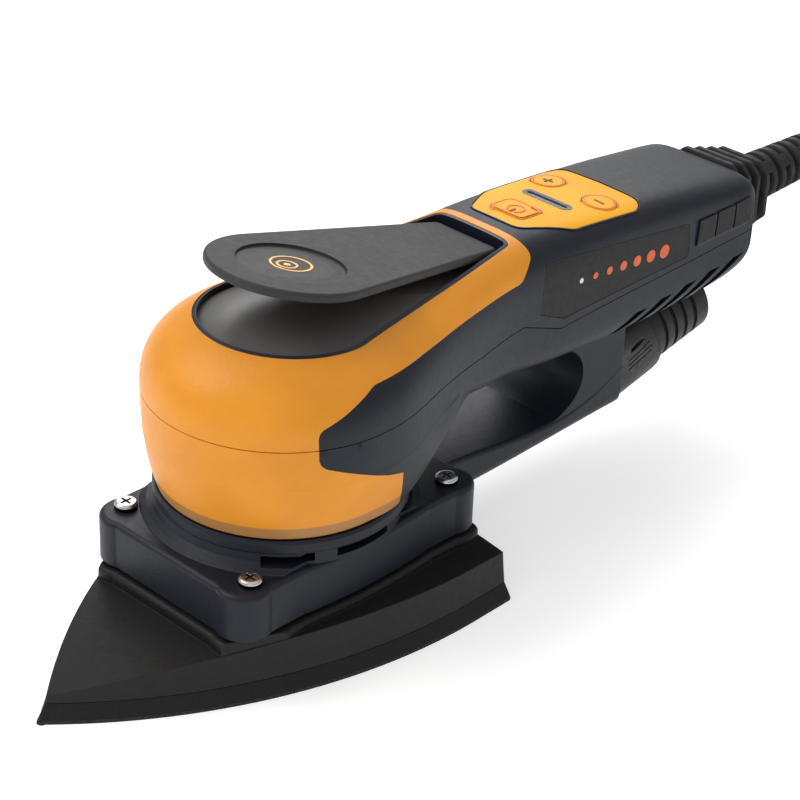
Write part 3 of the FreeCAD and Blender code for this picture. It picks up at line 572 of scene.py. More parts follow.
def foam(name, colour):
    """Closed-cell foam: round pores of two sizes."""
    finish = Finish(name, colour, 0.8, specular=0.2)
    pores = finish.ramp(finish.cells(1300.0), 0.1, 0.45)
    small = finish.ramp(finish.cells(2900.0), 0.05, 0.4)
    depth = finish.maths("MULTIPLY", pores, small)
    # The pores are painted darker and the walls between them paler: painted shade in the pores.
    finish.paint(finish.mix(depth, scaled(colour, 0.8), scaled(colour, 1.15)))
    finish.relief(depth, 0.05 * MM)
    return finish


def loops(name, colour):
    """Hook-and-loop backing: a felt of tiny loops."""
    finish = Finish(name, colour, 0.9, specular=0.1)
    thread = finish.cells(1900.0, "SMOOTH_F1")
    tangle = finish.noise(2600.0, 4.0, 0.7)
    pile = finish.maths("MULTIPLY", thread, tangle)
    # Low parts of the pile are painted darker and high parts paler: painted shade between the loops and
    # painted highlight on them.
    finish.paint(finish.mix(finish.ramp(pile, 0.05, 0.35), scaled(colour, 0.5), scaled(colour, 1.7)))
    finish.relief(pile, 0.3 * MM)
    return finish


def metal(name, colour, roughness=(0.16, 0.34), scratch=240.0, soft_edge=0.15):
    """Plated or machined metal with fine scratches and small stains."""
    finish = Finish(name, colour, roughness[0], metallic=1.0)
    stain = finish.ramp(finish.noise(300.0, 4.0), 0.4, 0.7)
    finish.paint(finish.mix(stain, scaled(colour, 0.82), scaled(colour, 1.08)))
    stretch = finish.add("ShaderNodeMapping")
    stretch.inputs["Scale"].default_value = (1.0, 1.0, 9.0)
    finish.link(finish.where, stretch.inputs["Vector"])
    lines = finish.add("ShaderNodeTexNoise")
    lines.inputs["Scale"].default_value = scratch
    lines.inputs["Detail"].default_value = 5.0
    finish.link(stretch.outputs["Vector"], lines.inputs["Vector"])
    finish.sheen_range(lines.outputs["Fac"], *roughness)
    finish.relief(lines.outputs["Fac"], 0.02 * MM, soft_edge * MM)
    return finish


def screw_metal(name, colour, floor_height):
    """Plated screw whose cross recess is painted dark: painted shade."""
    finish = metal(name, colour)
    plain = finish.shader.inputs["Base Color"].links[0].from_socket
    # Black below the recess floor plus 0.35 mm: painted shade in the cross recess.
    recess_shade = finish.ramp(finish.axis("Z"), (floor_height + 0.35) * MM, (floor_height + 0.05) * MM)
    finish.paint(finish.mix(recess_shade, plain, (0.01, 0.01, 0.01, 1.0)))
    return finish


def winding(name, colour):
    """Enamelled copper wire laid side by side."""
    finish = Finish(name, colour, 0.3, metallic=0.7)
    wire = finish.add("ShaderNodeTexWave", wave_type="BANDS", bands_direction="Z")
    wire.inputs["Scale"].default_value = 620.0
    wire.inputs["Distortion"].default_value = 0.6
    finish.link(finish.where, wire.inputs["Vector"])
    # The bands are painted darker where the wire surface is low and paler where it is high: painted
    # shade between the wires and painted highlight on them.
    finish.paint(finish.mix(wire.outputs["Fac"], scaled(colour, 0.5), scaled(colour, 1.2)))
    finish.relief(wire.outputs["Fac"], 0.2 * MM)
    return finish


def laminate(name, colour):
    """Circuit board with tracks under the lacquer."""
    finish = Finish(name, colour, 0.35)
    tracks = finish.add("ShaderNodeTexBrick")
    tracks.inputs["Scale"].default_value = 260.0
    tracks.inputs["Mortar Size"].default_value = 0.08
    tracks.inputs["Color1"].default_value = scaled(colour, 0.9)
    tracks.inputs["Color2"].default_value = scaled(colour, 1.15)
    tracks.inputs["Mortar"].default_value = scaled(colour, 1.9)
    finish.link(finish.where, tracks.inputs["Vector"])
    finish.paint(tracks.outputs["Color"])
    finish.relief(tracks.outputs["Fac"], 0.03 * MM)
    return finish


def glass_window(name, colour):
    """Smoked indicator window with a faint frost."""
    finish = Finish(name, colour, 0.25, specular=0.3)
    frost = finish.noise(900.0, 3.0)
    finish.paint(finish.mix(finish.ramp(frost, 0.4, 0.7), scaled(colour, 0.8), scaled(colour, 1.8)))
    finish.sheen_range(frost, 0.22, 0.3)
    return finish


FINISH_OF = {
    "head_cover": "Yellow Moulding",
    "head_skirt": "Yellow Skirt",
    "lever_rim": "Well Rim",
    "lever_well": "Well Gloss",
    "control_panel": "Panel Yellow",
    "plus_button": "Panel Yellow",
    "minus_button": "Panel Yellow",
    "power_button": "Panel Yellow",
    "indicator_lens": "Indicator Window",
    "badge_left": "Badge Plate",
    "badge_right": "Badge Plate",
    "lever": "Lever Plastic",
    "lever_disc": "Lever Disc",
    "shroud_screws": "Screw Plating",
    "stator_windings": "Copper Winding",
    "pad_hook_layer": "Loop Backing",
    "pad_plate": "Pad Moulding",
}

FINISH_OF_SLOT = {
    "yellow_case": "Yellow Moulding",
    "navy_case": "Navy Moulding",
    "rim_plastic": "Well Rim",
    "well_plastic": "Well Gloss",
    "panel_yellow": "Panel Yellow",
    "lens_black": "Indicator Window",
    "badge_plate": "Badge Plate",
    "lever_plastic": "Lever Plastic",
    "black_plastic": "Black Plastic",
    "pad_plastic": "Pad Moulding",
    "pad_foam": "Pad Foam",
    "rubber_black": "Black Rubber",
    "screw_steel": "Turned Steel",
    "bracket_aluminium": "Cast Aluminium",
    "magnet": "Magnet Plating",
    "copper_wire": "Copper Winding",
    "board_green": "Board Laminate",
    "small_parts": "Black Plastic",
}


class SANDER_OT_finishes(bpy.types.Operator):
    """Make every finish, and give the CAD nodes theirs"""

    bl_idname = "sander.finishes"
    bl_label = "Finishes"

    def execute(self, context):
        tints = context.scene.sander_finish
        yellow, navy = tuple(tints.yellow), tuple(tints.navy)
        # The sixth value of each moulded finish is how much paler its edges are painted: a painted
        # highlight.
        moulded("Yellow Moulding", yellow, (0.36, 0.44), 1300.0, 0.05, 1.2, 0.35, 0.3)
        yellow_skirt("Yellow Skirt", yellow, tuple(tints.band))
        moulded("Navy Moulding", navy, (0.42, 0.48), 1700.0, 0.03, 2.4, 0.35, 0.28)
        moulded("Well Rim", (0.012, 0.014, 0.025), (0.35, 0.45), 1700.0, 0.02, 1.6, 0.2, 0.4)
        moulded("Well Gloss", (0.105, 0.097, 0.093), (0.3, 0.36), 2400.0, 0.006, 1.1, 0.3, 0.5)
        moulded("Panel Yellow", tuple(tints.panel), (0.46, 0.54), 1900.0, 0.02, 1.1, 0.3, 0.15)
        plate = (0.012, 0.0125, 0.0135)
        moulded("Badge Plate", plate, (0.48, 0.58), 2100.0, 0.04, 1.5, 0.2, 0.25)
        moulded("Lever Plastic", (0.04, 0.039, 0.039), (0.52, 0.6), 1500.0, 0.03, 1.25, 0.35, 0.25)
        moulded("Lever Disc", (0.034, 0.033, 0.033), (0.46, 0.54), 2200.0, 0.02, 1.2, 0.2, 0.28)
        moulded("Black Plastic", (0.014, 0.014, 0.015), (0.42, 0.55), 1500.0, 0.04, 1.9, 0.3, 0.35)
        moulded("Pad Moulding", (0.009, 0.009, 0.009), (0.46, 0.56), 1200.0, 0.04, 2.4, 0.4, 0.25)
        # Marks and groove shade: print on the side dots and the power symbol, painted groove shade in
        # the arcs round the keys.
        moulded("Marks And Groove Shade", tuple(tints.marks), (0.35, 0.45), 1500.0, 0.01, 1.2, 0.1)
        moulded("Dark Marks", (0.05, 0.022, 0.01), (0.4, 0.5), 1500.0, 0.01, 1.3, 0.1)
        moulded("Window Frame", (0.085, 0.10, 0.13), (0.3, 0.4), 1500.0, 0.01, 1.4, 0.1)
        moulded("White Marks", (0.75, 0.75, 0.73), (0.4, 0.5), 1500.0, 0.01, 1.1, 0.1)
        metal("Gold Foil", tuple(tints.accent), (0.28, 0.4))
        rubber("Black Rubber", (0.014, 0.014, 0.015))
        rubber("Cable Jacket", (0.016, 0.016, 0.017), (0.42, 0.56), 700.0, 0.03)
        foam("Pad Foam", (0.014, 0.014, 0.014))
        loops("Loop Backing", (0.03, 0.03, 0.032))
        screw_metal("Screw Plating", (0.62, 0.62, 0.64), 37.9)
        metal("Turned Steel", (0.55, 0.55, 0.57), (0.22, 0.4))
        metal("Cast Aluminium", (0.62, 0.63, 0.65), (0.4, 0.6), 90.0)
        metal("Magnet Plating", (0.34, 0.34, 0.36), (0.2, 0.35))
        winding("Copper Winding", (0.55, 0.2, 0.07))
        laminate("Board Laminate", (0.02, 0.12, 0.05))
        glass_window("Indicator Window", (0.01, 0.01, 0.012))
        slots = {part["node"]: part["material_slot"] for part in frame["record"]["subparts"]}
        for name, node in NODES.items():
            finish = FINISH_OF.get(name) or FINISH_OF_SLOT[slots[name]]
            node.data.materials.clear()
            node.data.materials.append(bpy.data.materials[finish])
        return {"FINISHED"}


# Trim

def half_line(piece, spot, facing, reach):
    """Keep the part of a line that lies towards a direction from the key's middle."""
    edit(piece)
    pick(piece, "FACE", lambda f: (f.calc_center_median().to_2d() - spot).dot(facing) < reach * MM)
    bpy.ops.mesh.delete(type="FACE")
    bpy.ops.object.mode_set(mode="OBJECT")


def groove_shade_arc(piece, spot, facing, target, body):
    """Lay one arc of painted groove shade round a key on its wall, as a thin raised strip."""
    half_line(piece, spot, facing, -1.6)
    lay_on(piece, NODES[target], "Z", 0.15, 0.22)
    finish_piece(piece, body, "Marks And Groove Shade")


def groove_shade_ring(name, spot, radius, facing, target, body):
    ring = disc(name, spot.x, spot.y, radius * MM, count=64)
    hollow(ring, LINE_WIDTH * MM)
    groove_shade_arc(ring, spot, facing, target, body)


def rounded_frame(name, spot, size, width):
    """Line round a rounded rectangle of a half length, half width and corner radius."""
    half_x, half_y, corner = size
    points = [
        (spot.x + sx * half_x * MM, spot.y + sy * half_y * MM)
        for sx, sy in ((-1, -1), (1, -1), (1, 1), (-1, 1))
    ]
    piece = outline(name, points, corner * MM, segments=8)
    hollow(piece, width * MM)
    return piece


def bar(name, x, y, half_x, half_y):
    """Flat bar with round ends."""
    points = [
        (x + sx * half_x * MM, y + sy * half_y * MM)
        for sx, sy in ((-1, -1), (1, -1), (1, 1), (-1, 1))
    ]
    return outline(name, points, 0.98 * min(half_x, half_y) * MM)


class SANDER_OT_panel_marks(bpy.types.Operator):
    """Ring lines of painted groove shade round the three keys, their symbols, and the frame of the
    indicator window
    """

    bl_idname = "sander.panel_marks"
    bl_label = "Panel marks"

    def execute(self, context):
        for key, spot in (("plus", PLUS_KEY), ("minus", MINUS_KEY)):
            button, body = key + "_button", key + "_key"
            groove_shade_ring(key + "_groove_shade_outer", spot, RING_OUTER, AWAY_FROM_CAMERA, "control_panel", "housing")
            groove_shade_ring(key + "_groove_shade_inner", spot, RING_INNER, -AWAY_FROM_CAMERA, button, body)
            symbol = bar(key + "_symbol", spot.x, spot.y, SYMBOL_ARM, SYMBOL_STROKE)
            if key == "plus":
                upright = bar("plus_upright", spot.x, spot.y, SYMBOL_STROKE, SYMBOL_ARM)
                symbol = join([symbol, upright], "plus_symbol")
            lay_on(symbol, NODES[button], "Z", 0.2, 0.28)
            finish_piece(symbol, body, "Dark Marks")
        # The frames round the power key are painted groove shade too, each kept on the side where the
        # groove's wall faces the camera.
        frame_outer = rounded_frame("power_frame_shade_outer", POWER_KEY, POWER_FRAME_OUTER, LINE_WIDTH)
        cut_long_edges(frame_outer, 7)
        groove_shade_arc(frame_outer, POWER_KEY, AWAY_FROM_CAMERA, "control_panel", "housing")
        frame_inner = rounded_frame("power_frame_shade_inner", POWER_KEY, POWER_FRAME_INNER, LINE_WIDTH)
        cut_long_edges(frame_inner, 7)
        groove_shade_arc(frame_inner, POWER_KEY, -AWAY_FROM_CAMERA, "power_button", "power_key")
        self.power_symbol()
        self.window_frame()
        self.panel_gap_shadow()
        return {"FINISHED"}

    def power_symbol(self):
        ring = disc("power_arc", POWER_KEY.x, POWER_KEY.y, 3.1 * MM)
        hollow(ring, LINE_WIDTH * MM)
        edit(ring)
        pick(ring, "FACE", lambda f: abs(f.calc_center_median().x - POWER_KEY.x) < 1.3 * MM
             and f.calc_center_median().y < POWER_KEY.y)
        bpy.ops.mesh.delete(type="FACE")
        bpy.ops.object.mode_set(mode="OBJECT")
        stroke = bar("power_stroke", POWER_KEY.x, POWER_KEY.y - 1.9 * MM, 0.28, 1.6)
        symbol = join([ring, stroke], "power_symbol")
        lay_on(symbol, NODES["power_button"], "Z", 0.2, 0.28)
        finish_piece(symbol, "power_key", "Marks And Groove Shade")

    def window_frame(self):
        outer = rounded_frame("frame_rim", LED_SLOT, WINDOW_RIM, 0.75)
        lay_on(outer, NODES["control_panel"], "Z", 0.16, 0.3)
        inner = rounded_frame("frame_wall", LED_SLOT, WINDOW_WALL, LINE_WIDTH)
        lay_on(inner, NODES["indicator_lens"], "Z", 0.42, 0.4)
        finish_piece(join([outer, inner], "window_frame"), "housing", "Window Frame")

    def panel_gap_shadow(self):
        """Thin dark line round the panel: painted shadow in the gap between the panel and the handle
        shell.
        """
        piece = outline("panel_gap_shadow", hull_points(PANEL_CORNERS, 0.7), 0.0)
        hollow(piece, 0.45 * MM)
        cut_long_edges(piece, 3)
        lay_on(piece, NODES["handle_upper_shell"], "Z", 0.05, 0.3)
        finish_piece(piece, "housing", "Well Rim")


class SANDER_OT_lever_marks(bpy.types.Operator):
    """Symbol of the pad's orbit on the lever's round inlay"""

    bl_idname = "sander.lever_marks"
    bl_label = "Lever marks"

    def execute(self, context):
        top = LEVER_DISC_Z + 0.12 * MM
        orbit = disc("lever_orbit", 0.0, LEVER_DISC_Y, 6.6 * MM, top, 64)
        hollow(orbit, 0.8 * MM)
        inner = disc("lever_orbit_inner", 0.0, LEVER_DISC_Y - 1.6 * MM, 3.4 * MM, top)
        hollow(inner, 0.8 * MM)
        centre = disc("lever_orbit_centre", 0.0, LEVER_DISC_Y - 1.6 * MM, 1.1 * MM, top, 32)
        symbol = join([orbit, inner, centre], "lever_symbol")
        apply_modifier(symbol, "SOLIDIFY", thickness=0.22 * MM, offset=-1.0)
        self.tip(symbol)
        finish_piece(symbol, "lever", "Gold Foil")
        self.dish()
        return {"FINISHED"}

    def dish(self):
        """Inlay of the lever: a shallow raised middle inside a rounded channel."""
        middle = Vector((0.0, LEVER_DISC_Y, 0.0))
        turns = [2 * math.pi * k / 96 for k in range(96)]
        loops_of_points = [
            [Vector((r * math.cos(turn), r * math.sin(turn), z)) * MM + middle for turn in turns]
            for r, z in LEVER_DISH
        ]
        dish = extruded("lever_dish", loops_of_points)
        self.tip(dish)
        smooth(dish, 50.0)
        finish_piece(dish, "lever", "Lever Disc", ["lever_disc"])

    def tip(self, piece):
        turn = Matrix.Rotation(-LEVER_TILT, 4, "X")
        piece.matrix_world = Matrix.Translation(LEVER_EDGE) @ turn
        settle(piece)


def side_outline(name, points, corner, side):
    """Flat polygon of (y, z) points, standing beside the handle and facing out."""
    piece = outline(name, [(z * MM * side, y * MM) for y, z in points], corner * MM, 0.0)
    turn = Matrix.Rotation(-side * math.pi / 2, 4, "Y")
    piece.matrix_world = Matrix.Translation((0.04 * side, 0, 0)) @ turn
    settle(piece)
    return piece


class SANDER_OT_side_badges(bpy.types.Operator):
    """Row of growing dots on each side plate"""

    bl_idname = "sander.side_badges"
    bl_label = "Side badges"

    def execute(self, context):
        for side, label in ((1, "right"), (-1, "left")):
            for i in range(BADGE_DOTS):
                self.dot(i, side, label)
        return {"FINISHED"}

    def dot(self, index, side, label):
        """One dot of the row; the first is white."""
        share = index / (BADGE_DOTS - 1)
        y, z = FIRST_DOT_Y + DOT_PITCH * index, FIRST_DOT_Z - DOT_FALL * share
        radius = DOT_RADIUS + DOT_GROWTH * share
        turns = [2 * math.pi * k / 24 for k in range(24)]
        points = [(y + radius * math.cos(turn), z + radius * math.sin(turn)) for turn in turns]
        dot = side_outline("badge_dot_%s_%d" % (label, index + 1), points, 0.0, side)
        lay_on(dot, NODES["badge_" + label], "X" if side > 0 else "-X", 0.14, 0.25)
        finish = "White Marks" if index == 0 else "Marks And Groove Shade"
        finish_piece(dot, "housing", finish)


class SANDER_OT_windows(bpy.types.Operator):
    """Plates in the recesses at the rear of the handle, and dark lines between and under them: painted
    shadow in the gaps round the plates
    """

    bl_idname = "sander.windows"
    bl_label = "Windows"

    def execute(self, context):
        for side, label in ((1, "right"), (-1, "left")):
            plates = []
            for i in range(WINDOW_COUNT):
                y = FIRST_WINDOW_Y + WINDOW_PITCH * i
                window = [
                    (y + 0.12, WINDOW_TOP), (y + 8.7, WINDOW_TOP),
                    (y + 7.9, WINDOW_BOTTOM), (y - 0.68, WINDOW_BOTTOM),
                ]
                plates.append(self.flat("window", window, side, 0.86, 0.8))
            plates = join(plates, "window_plates_" + label)
            finish_piece(plates, "housing", "Badge Plate")
            # The sill and divider lines are dark strips in the gaps round the plates: painted shadow.
            sill = [(167.4, 78.4), (195.6, 78.4), (195.6, 77.7), (167.4, 77.7)]
            lines = [self.flat("line", sill, side, 0.1, 0.3)]
            for y in DIVIDERS_Y:
                line = [(y - 0.45, 86.8), (y + 0.45, 86.8), (y - 0.35, 78.0), (y - 1.25, 78.0)]
                lines.append(self.flat("line", line, side, 0.1, 0.3))
            lines = join(lines, "window_gap_shadows_" + label)
            finish_piece(lines, "housing", "Well Rim")
        return {"FINISHED"}

    def flat(self, name, points, side, proud, thickness):
        """Flat piece on the side wall, its faces small enough to follow the wall."""
        piece = side_outline(name, points, 0.2, side)
        cut_long_edges(piece, 3)
        lay_on(piece, NODES["handle_upper_shell"], "X" if side > 0 else "-X", proud, thickness)
        return piece


# Cable

def square_loop(count, half, low, high, power):
    """Points of a squared circle between low and high."""
    points = []
    for k in range(count):
        angle = 2 * math.pi * (k + 0.5) / count
        c, s = math.cos(angle), math.sin(angle)
        x = math.copysign(abs(c) ** (2 / power), c) * half
        z = (low + high) / 2 + math.copysign(abs(s) ** (2 / power), s) * (high - low) / 2
        points.append((x, z))
    return points


def cut_loop(half, low, high):
    """Points of a rectangle with rounded, cut-off corners."""
    middle, rise = (low + high) / 2, (high - low) / 2
    corner = [(half, 0.0)]
    corner += [(half, rise - 5.0), (half - 0.15, rise - 4.3), (half - 0.6, rise - 3.6)]
    corner += [(half - 3.6, rise - 0.6), (half - 4.3, rise - 0.15), (half - 5.0, rise), (0.0, rise)]
    points = corner + [(-x, z) for x, z in reversed(corner[:-1])]
    points += [(x, -z) for x, z in reversed(points[1:-1])]
    return [(x, middle + z) for x, z in points]


def extruded(name, loops_of_points):
    """Closed solid through loops of points: a disc extruded and set to each loop in turn."""
    clear_selection()
    count = len(loops_of_points[0])
    bpy.ops.mesh.primitive_circle_add(vertices=count, radius=1.0, fill_type="NGON")
    piece = named(name)
    edit(piece)
    bpy.ops.mesh.select_mode(type="FACE")
    mesh = bmesh.from_edit_mesh(piece.data)
    for vert, point in zip(mesh.verts, loops_of_points[0]):
        vert.co = point
    bmesh.update_edit_mesh(piece.data)
    bpy.ops.mesh.select_all(action="SELECT")
    bpy.ops.mesh.duplicate()
    bpy.ops.mesh.hide(unselected=True)
    bpy.ops.mesh.reveal(select=False)
    for points in loops_of_points[1:]:
        bpy.ops.mesh.extrude_region_move(TRANSFORM_OT_translate={"value": (0, 0, 0)})
        mesh = bmesh.from_edit_mesh(piece.data)
        face = [f for f in mesh.faces if f.select][0]
        for vert, point in zip(face.verts, points):
            vert.co = point
        bmesh.update_edit_mesh(piece.data)
    bpy.ops.mesh.select_all(action="SELECT")
    bpy.ops.mesh.remove_doubles(threshold=0.001 * MM)
    bpy.ops.mesh.normals_make_consistent(inside=False)
    bpy.ops.object.mode_set(mode="OBJECT")
    return piece


class SANDER_OT_cable_boot(bpy.types.Operator):
    """Square rubber bellows behind the handle"""

    bl_idname = "sander.cable_boot"
    bl_label = "Cable boot"

    def execute(self, context):
        stations = [(191.0, 9.6, 66.4, 83.4), (201.9, 9.6, 66.4, 83.4)]
        for i in range(BOOT_RIBS):
            y = FIRST_RIB_Y + RIB_PITCH * i
            shrink = RIB_SHRINK * i
            half, low, high = RIB_HALF - shrink, RIB_LOW + shrink, RIB_HIGH - 3.0 * shrink
            stations += [
                (y + 0.2, *BOOT_NECK),
                (y + 0.3, half - 0.8, low + 0.7, high - 0.8),
                (y + 0.9, half, low, high),
                (y + 2.4, half, low, high),
                (y + 3.0, half - 0.8, low + 0.7, high - 0.8),
                (y + 3.1, *BOOT_NECK),
            ]
        stations += [(226.0, 8.6, 66.4, 83.6)]
        loops_of_points = [
            [(x * MM, y * MM, z * MM) for x, z in cut_loop(half, low, high)]
            for y, half, low, high in stations
        ]
        boot = extruded("cable_boot", loops_of_points)
        smooth(boot, 40.0)
        finish_piece(boot, "housing", "Black Rubber", ["cord_boot"])
        return {"FINISHED"}


class SANDER_OT_cable_sleeve(bpy.types.Operator):
    """Tapered sleeve of rings joined by staggered bars"""

    bl_idname = "sander.cable_sleeve"
    bl_label = "Cable sleeve"

    def execute(self, context):
        reach = (SLEEVE_END - SLEEVE_START).length
        core = [
            (0.0, 5.6 * MM), (0.5 * MM, 6.0 * MM), (reach - 1.0 * MM, 4.4 * MM), (reach, 4.1 * MM)
        ]
        parts = [self.turned("sleeve_core", core)]
        for i in range(SLEEVE_RINGS):
            start = (RING_START + RING_PITCH * i) * MM
            end = start + RING_LENGTH * MM
            r = (RING_RADIUS - RING_SHRINK * i) * MM
            root = (RING_ROOT - RING_SHRINK * i) * MM
            profile = [
                (start, root), (start + 0.1 * MM, r - 0.5 * MM), (start + 0.5 * MM, r),
                (end - 0.5 * MM, r), (end - 0.1 * MM, r - 0.5 * MM), (end, root),
            ]
            parts.append(self.turned("sleeve_ring", profile))
            if i < SLEEVE_RINGS - 1:
                parts += self.bars(end - 0.3 * MM, r - 0.25 * MM, i)
        sleeve = join(parts, "cable_sleeve")
        smooth(sleeve, 40.0)
        finish_piece(sleeve, "housing", "Black Rubber", ["cord_sleeve"])
        return {"FINISHED"}

    def turned(self, name, profile):
        """Solid of revolution of (distance, radius) points about the sleeve's axis."""
        turns = [2 * math.pi * k / 40 for k in range(40)]
        loops_of_points = [
            [SLEEVE_START + Vector((r * math.cos(turn), d, r * math.sin(turn))) for turn in turns]
            for d, r in profile
        ]
        return extruded(name, loops_of_points)

    def bars(self, start, radius, index):
        """Two bars across the gap behind a ring, turned a quarter from the last pair."""
        parts = []
        for half_turn in (0, 1):
            angle = math.pi / 4 + math.pi * half_turn + math.pi / 2 * (index % 2)
            clear_selection()
            bpy.ops.mesh.primitive_cube_add(size=1.0, scale=(4.6 * MM, 3.2 * MM, 4.2 * MM))
            bar_piece = named("sleeve_bar")
            settle(bar_piece)
            apply_modifier(bar_piece, "BEVEL", width=0.4 * MM, segments=2)
            turn = Matrix.Rotation(angle, 4, "Y")
            along = Vector((0, start + 1.2 * MM, 0))
            lift = turn @ Vector((0, 0, radius - 2.1 * MM))
            bar_piece.matrix_world = Matrix.Translation(SLEEVE_START + along + lift) @ turn
            settle(bar_piece)
            parts.append(bar_piece)
        return parts


class SANDER_OT_cable(bpy.types.Operator):
    """Mains cable: lead, coil and tail as one smooth line"""

    bl_idname = "sander.cable"
    bl_label = "Cable"

    def execute(self, context):
        settings = context.scene.sander_cable
        route = [Vector(p) * MM for p in LEAD_ROUTE]
        route += self.coil(settings)
        route += [Vector(p) * MM for p in TAIL_ROUTE]
        curve = bpy.data.curves.new("mains_cable", "CURVE")
        curve.dimensions = "3D"
        spline = curve.splines.new("NURBS")
        spline.points.add(len(route) - 1)
        for point, place in zip(spline.points, route):
            point.co = (*place, 1.0)
        spline.order_u = 3
        spline.use_endpoint_u = True
        spline.resolution_u = 6
        curve.bevel_depth = settings.diameter / 2
        curve.bevel_resolution = 5
        curve.use_fill_caps = True
        cable = bpy.data.objects.new("mains_cable", curve)
        context.scene.collection.objects.link(cable)
        hidden = ["power_cord", "cord_coil", "cord_tail"]
        finish_piece(cable, "housing", "Cable Jacket", hidden)
        return {"FINISHED"}

    def coil(self, settings):
        """Turns beside and under each other, a diameter apart, from the lead's side to the tail's."""
        rows = settings.rows
        middle = (rows - 1) / 2
        spots = []
        for layer in range(rows - 1, -1, -1):
            order = range(rows) if layer % 2 == 0 else range(rows - 1, -1, -1)
            spots += [Vector((row - middle, layer + 0.5)) * settings.diameter for row in order]
        spots.append(spots[-1])
        places = []
        for k in range(int(settings.points * (rows * rows - 0.5)) + 1):
            turn, share = divmod(k / settings.points, 1.0)
            step = min(max((share - 0.55) / 0.45, 0.0), 1.0)
            step = step * step * (3 - 2 * step)
            offset, height = spots[int(turn)].lerp(spots[int(turn) + 1], step)
            angle = math.pi + 2 * math.pi * (turn + share)
            radius = settings.coil_radius + offset
            x = COIL_CENTRE.x + radius * math.cos(angle)
            y = COIL_CENTRE.y - radius * math.sin(angle)
            places.append(Vector((x, y, height)))
        return places

    def measure(self, route):
        """Length of the smooth line that the spline draws."""
        total = 0.0
        for a, b, c in zip(route, route[1:], route[2:]):
            start, end = (a + b) / 2, (b + c) / 2
            last = start
            for i in range(1, 9):
                t = i / 8
                here = start * (1 - t) ** 2 + b * 2 * t * (1 - t) + end * t ** 2
                total += (here - last).length
                last = here
        ends = (route[1] - route[0]).length + (route[-1] - route[-2]).length
        return total + ends / 2


class SANDER_OT_plug(bpy.types.Operator):
    """Mains plug with a waisted, ribbed grip"""

    bl_idname = "sander.plug"
    bl_label = "Plug"

    def execute(self, context):
        low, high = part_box("plug_body")
        x, middle = (low.x + high.x) / 2, (low.z + high.z) / 2
        half_width, half_height = (high.x - low.x) / 2, (high.z - low.z) / 2
        loops_of_points = []
        for share, half, rise in PLUG_SHAPE:
            y = low.y + (high.y - low.y) * share
            power = 4.0 if share < 0.8 else 2.0
            half, rise = min(half * MM, half_width), min(rise * MM, half_height)
            loop = square_loop(40, half, middle - rise, middle + rise, power)
            loops_of_points.append([(x + px, y, pz) for px, pz in loop])
        grip = extruded("plug_grip", loops_of_points)
        smooth(grip, 40.0)
        finish_piece(grip, "housing", "Cable Jacket", ["plug_body"])
        return {"FINISHED"}


class SANDER_OT_backing_foam(bpy.types.Operator):
    """Foam layer of the pad with softened edges"""

    bl_idname = "sander.backing_foam"
    bl_label = "Backing foam"

    def execute(self, context):
        layer = copy_of(NODES["pad_foam"], "backing_foam")
        for key in list(layer.keys()):
            del layer[key]
        layer.parent = None
        edit(layer)
        bpy.ops.mesh.select_all(action="SELECT")
        bpy.ops.mesh.remove_doubles(threshold=0.002 * MM)
        bpy.ops.mesh.dissolve_limited(angle_limit=math.radians(1.0))
        bpy.ops.object.mode_set(mode="OBJECT")
        apply_modifier(
            layer, "BEVEL", width=0.45 * MM, segments=3, limit_method="ANGLE",
            angle_limit=math.radians(40),
        )
        smooth(layer, 40.0)
        finish_piece(layer, "pad", "Pad Foam", ["pad_foam"])
        return {"FINISHED"}


# Studio

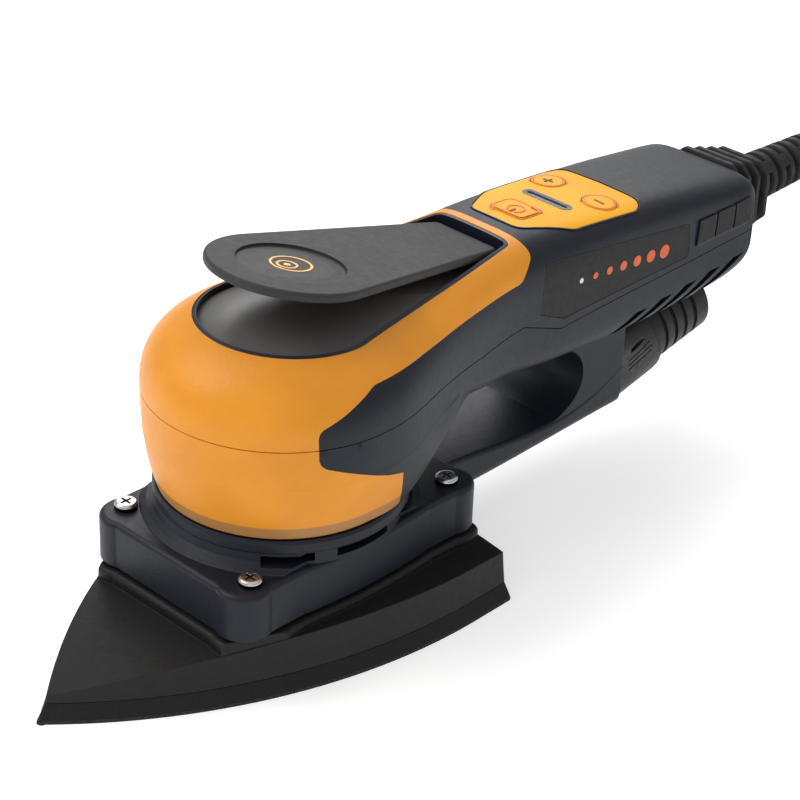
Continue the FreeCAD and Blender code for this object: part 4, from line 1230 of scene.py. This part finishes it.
class SANDER_OT_stage(bpy.types.Operator):
    """Camera, soft lights and a plain pale floor"""

    bl_idname = "sander.stage"
    bl_label = "Stage"

    def execute(self, context):
        studio = context.scene.sander_studio
        self.camera(context, studio)
        target = Vector(studio.target)
        self.light("key_light", studio.key_power, 1.1, KEY_PLACE, target)
        self.light("rim_light", studio.rim_power, 1.1, RIM_PLACE, target)
        self.light("fill_light", studio.fill_power, 0.8, FILL_PLACE, target)
        self.sky(context, studio)
        clear_selection()
        bpy.ops.mesh.primitive_plane_add(size=8.0, location=(0, 0, -0.02 * MM))
        floor = named("floor")
        finish = Finish("Pale Floor", (0.93, 0.93, 0.93), 0.7, specular=0.2)
        paper = finish.noise(6.0, 4.0)
        pale, paler = (0.92, 0.92, 0.92, 1.0), (0.95, 0.95, 0.95, 1.0)
        finish.paint(finish.mix(finish.ramp(paper, 0.3, 0.7), pale, paler))
        finish.shader.inputs["Emission Color"].default_value = (1.0, 1.0, 1.0, 1.0)
        finish.shader.inputs["Emission Strength"].default_value = studio.floor_glow
        floor.data.materials.append(finish.material)
        context.scene.view_settings.view_transform = "Standard"
        return {"FINISHED"}

    def sky(self, context, studio):
        """White surroundings, bright overhead and dim at the horizon."""
        world = bpy.data.worlds.new("Studio")
        world.use_nodes = True
        nodes, links = world.node_tree.nodes, world.node_tree.links
        where = nodes.new("ShaderNodeTexCoord")
        split = nodes.new("ShaderNodeSeparateXYZ")
        fade = nodes.new("ShaderNodeMapRange")
        numbers = {
            "From Min": 0.05, "From Max": 0.85, "To Min": studio.horizon, "To Max": studio.sky
        }
        for key, number in numbers.items():
            fade.inputs[key].default_value = number
        links.new(where.outputs["Generated"], split.inputs["Vector"])
        links.new(split.outputs["Z"], fade.inputs["Value"])
        links.new(fade.outputs["Result"], nodes["Background"].inputs["Strength"])
        nodes["Background"].inputs["Color"].default_value = (1.0, 1.0, 1.0, 1.0)
        context.scene.world = world

    def camera(self, context, studio):
        a, e = studio.azimuth, studio.elevation
        back = Vector((math.sin(a) * math.cos(e), -math.cos(a) * math.cos(e), math.sin(e)))
        across = Vector((math.cos(a), math.sin(a), 0.0))
        upright = back.cross(across)
        c, s = math.cos(studio.roll), math.sin(studio.roll)
        right = across * c + upright * s
        up = upright * c - across * s
        bpy.ops.object.camera_add(location=Vector(studio.target) + back * studio.distance)
        camera = bpy.context.object
        camera.rotation_mode = "QUATERNION"
        camera.rotation_quaternion = Matrix((right, up, back)).transposed().to_quaternion()
        camera.data.lens = studio.lens
        camera.data.sensor_width = 36.0
        camera.data.clip_start, camera.data.clip_end = 0.01, 50.0
        context.scene.camera = camera

    def light(self, name, power, size, place, target):
        bpy.ops.object.light_add(type="AREA", location=place)
        lamp = named(name)
        lamp.data.energy = power
        lamp.data.shape = "DISK"
        lamp.data.size = size
        lamp.rotation_mode = "QUATERNION"
        lamp.rotation_quaternion = (target - place).to_track_quat("-Z", "Y")


class SANDER_PT_panel(bpy.types.Panel):
    """Settings and steps of the detail sander"""

    bl_idname = "SANDER_PT_panel"
    bl_label = "Detail Sander"
    bl_space_type = "VIEW_3D"
    bl_region_type = "UI"
    bl_category = "Sander"

    def draw(self, context):
        for group in ("sander_studio", "sander_finish", "sander_cable"):
            settings = getattr(context.scene, group)
            for key in settings.__annotations__:
                self.layout.prop(settings, key)
        for step in STEPS:
            self.layout.operator(step.bl_idname)


STEPS = (
    SANDER_OT_stage,
    SANDER_OT_finishes,
    SANDER_OT_plug,
    SANDER_OT_cable,
    SANDER_OT_cable_boot,
    SANDER_OT_cable_sleeve,
    SANDER_OT_backing_foam,
    SANDER_OT_panel_marks,
    SANDER_OT_lever_marks,
    SANDER_OT_side_badges,
    SANDER_OT_windows,
)
GROUPS = (StudioSettings, FinishSettings, CableSettings)


def register():
    for kind in GROUPS + STEPS + (SANDER_PT_panel,):
        bpy.utils.register_class(kind)
    bpy.types.Scene.sander_studio = PointerProperty(type=StudioSettings)
    bpy.types.Scene.sander_finish = PointerProperty(type=FinishSettings)
    bpy.types.Scene.sander_cable = PointerProperty(type=CableSettings)


def unregister():
    del bpy.types.Scene.sander_cable
    del bpy.types.Scene.sander_finish
    del bpy.types.Scene.sander_studio
    for kind in reversed(GROUPS + STEPS + (SANDER_PT_panel,)):
        bpy.utils.unregister_class(kind)


def main():
    register()
    for step in STEPS:
        group, action = step.bl_idname.split(".")
        getattr(getattr(bpy.ops, group), action)()


if __name__ == "__main__":
    main()
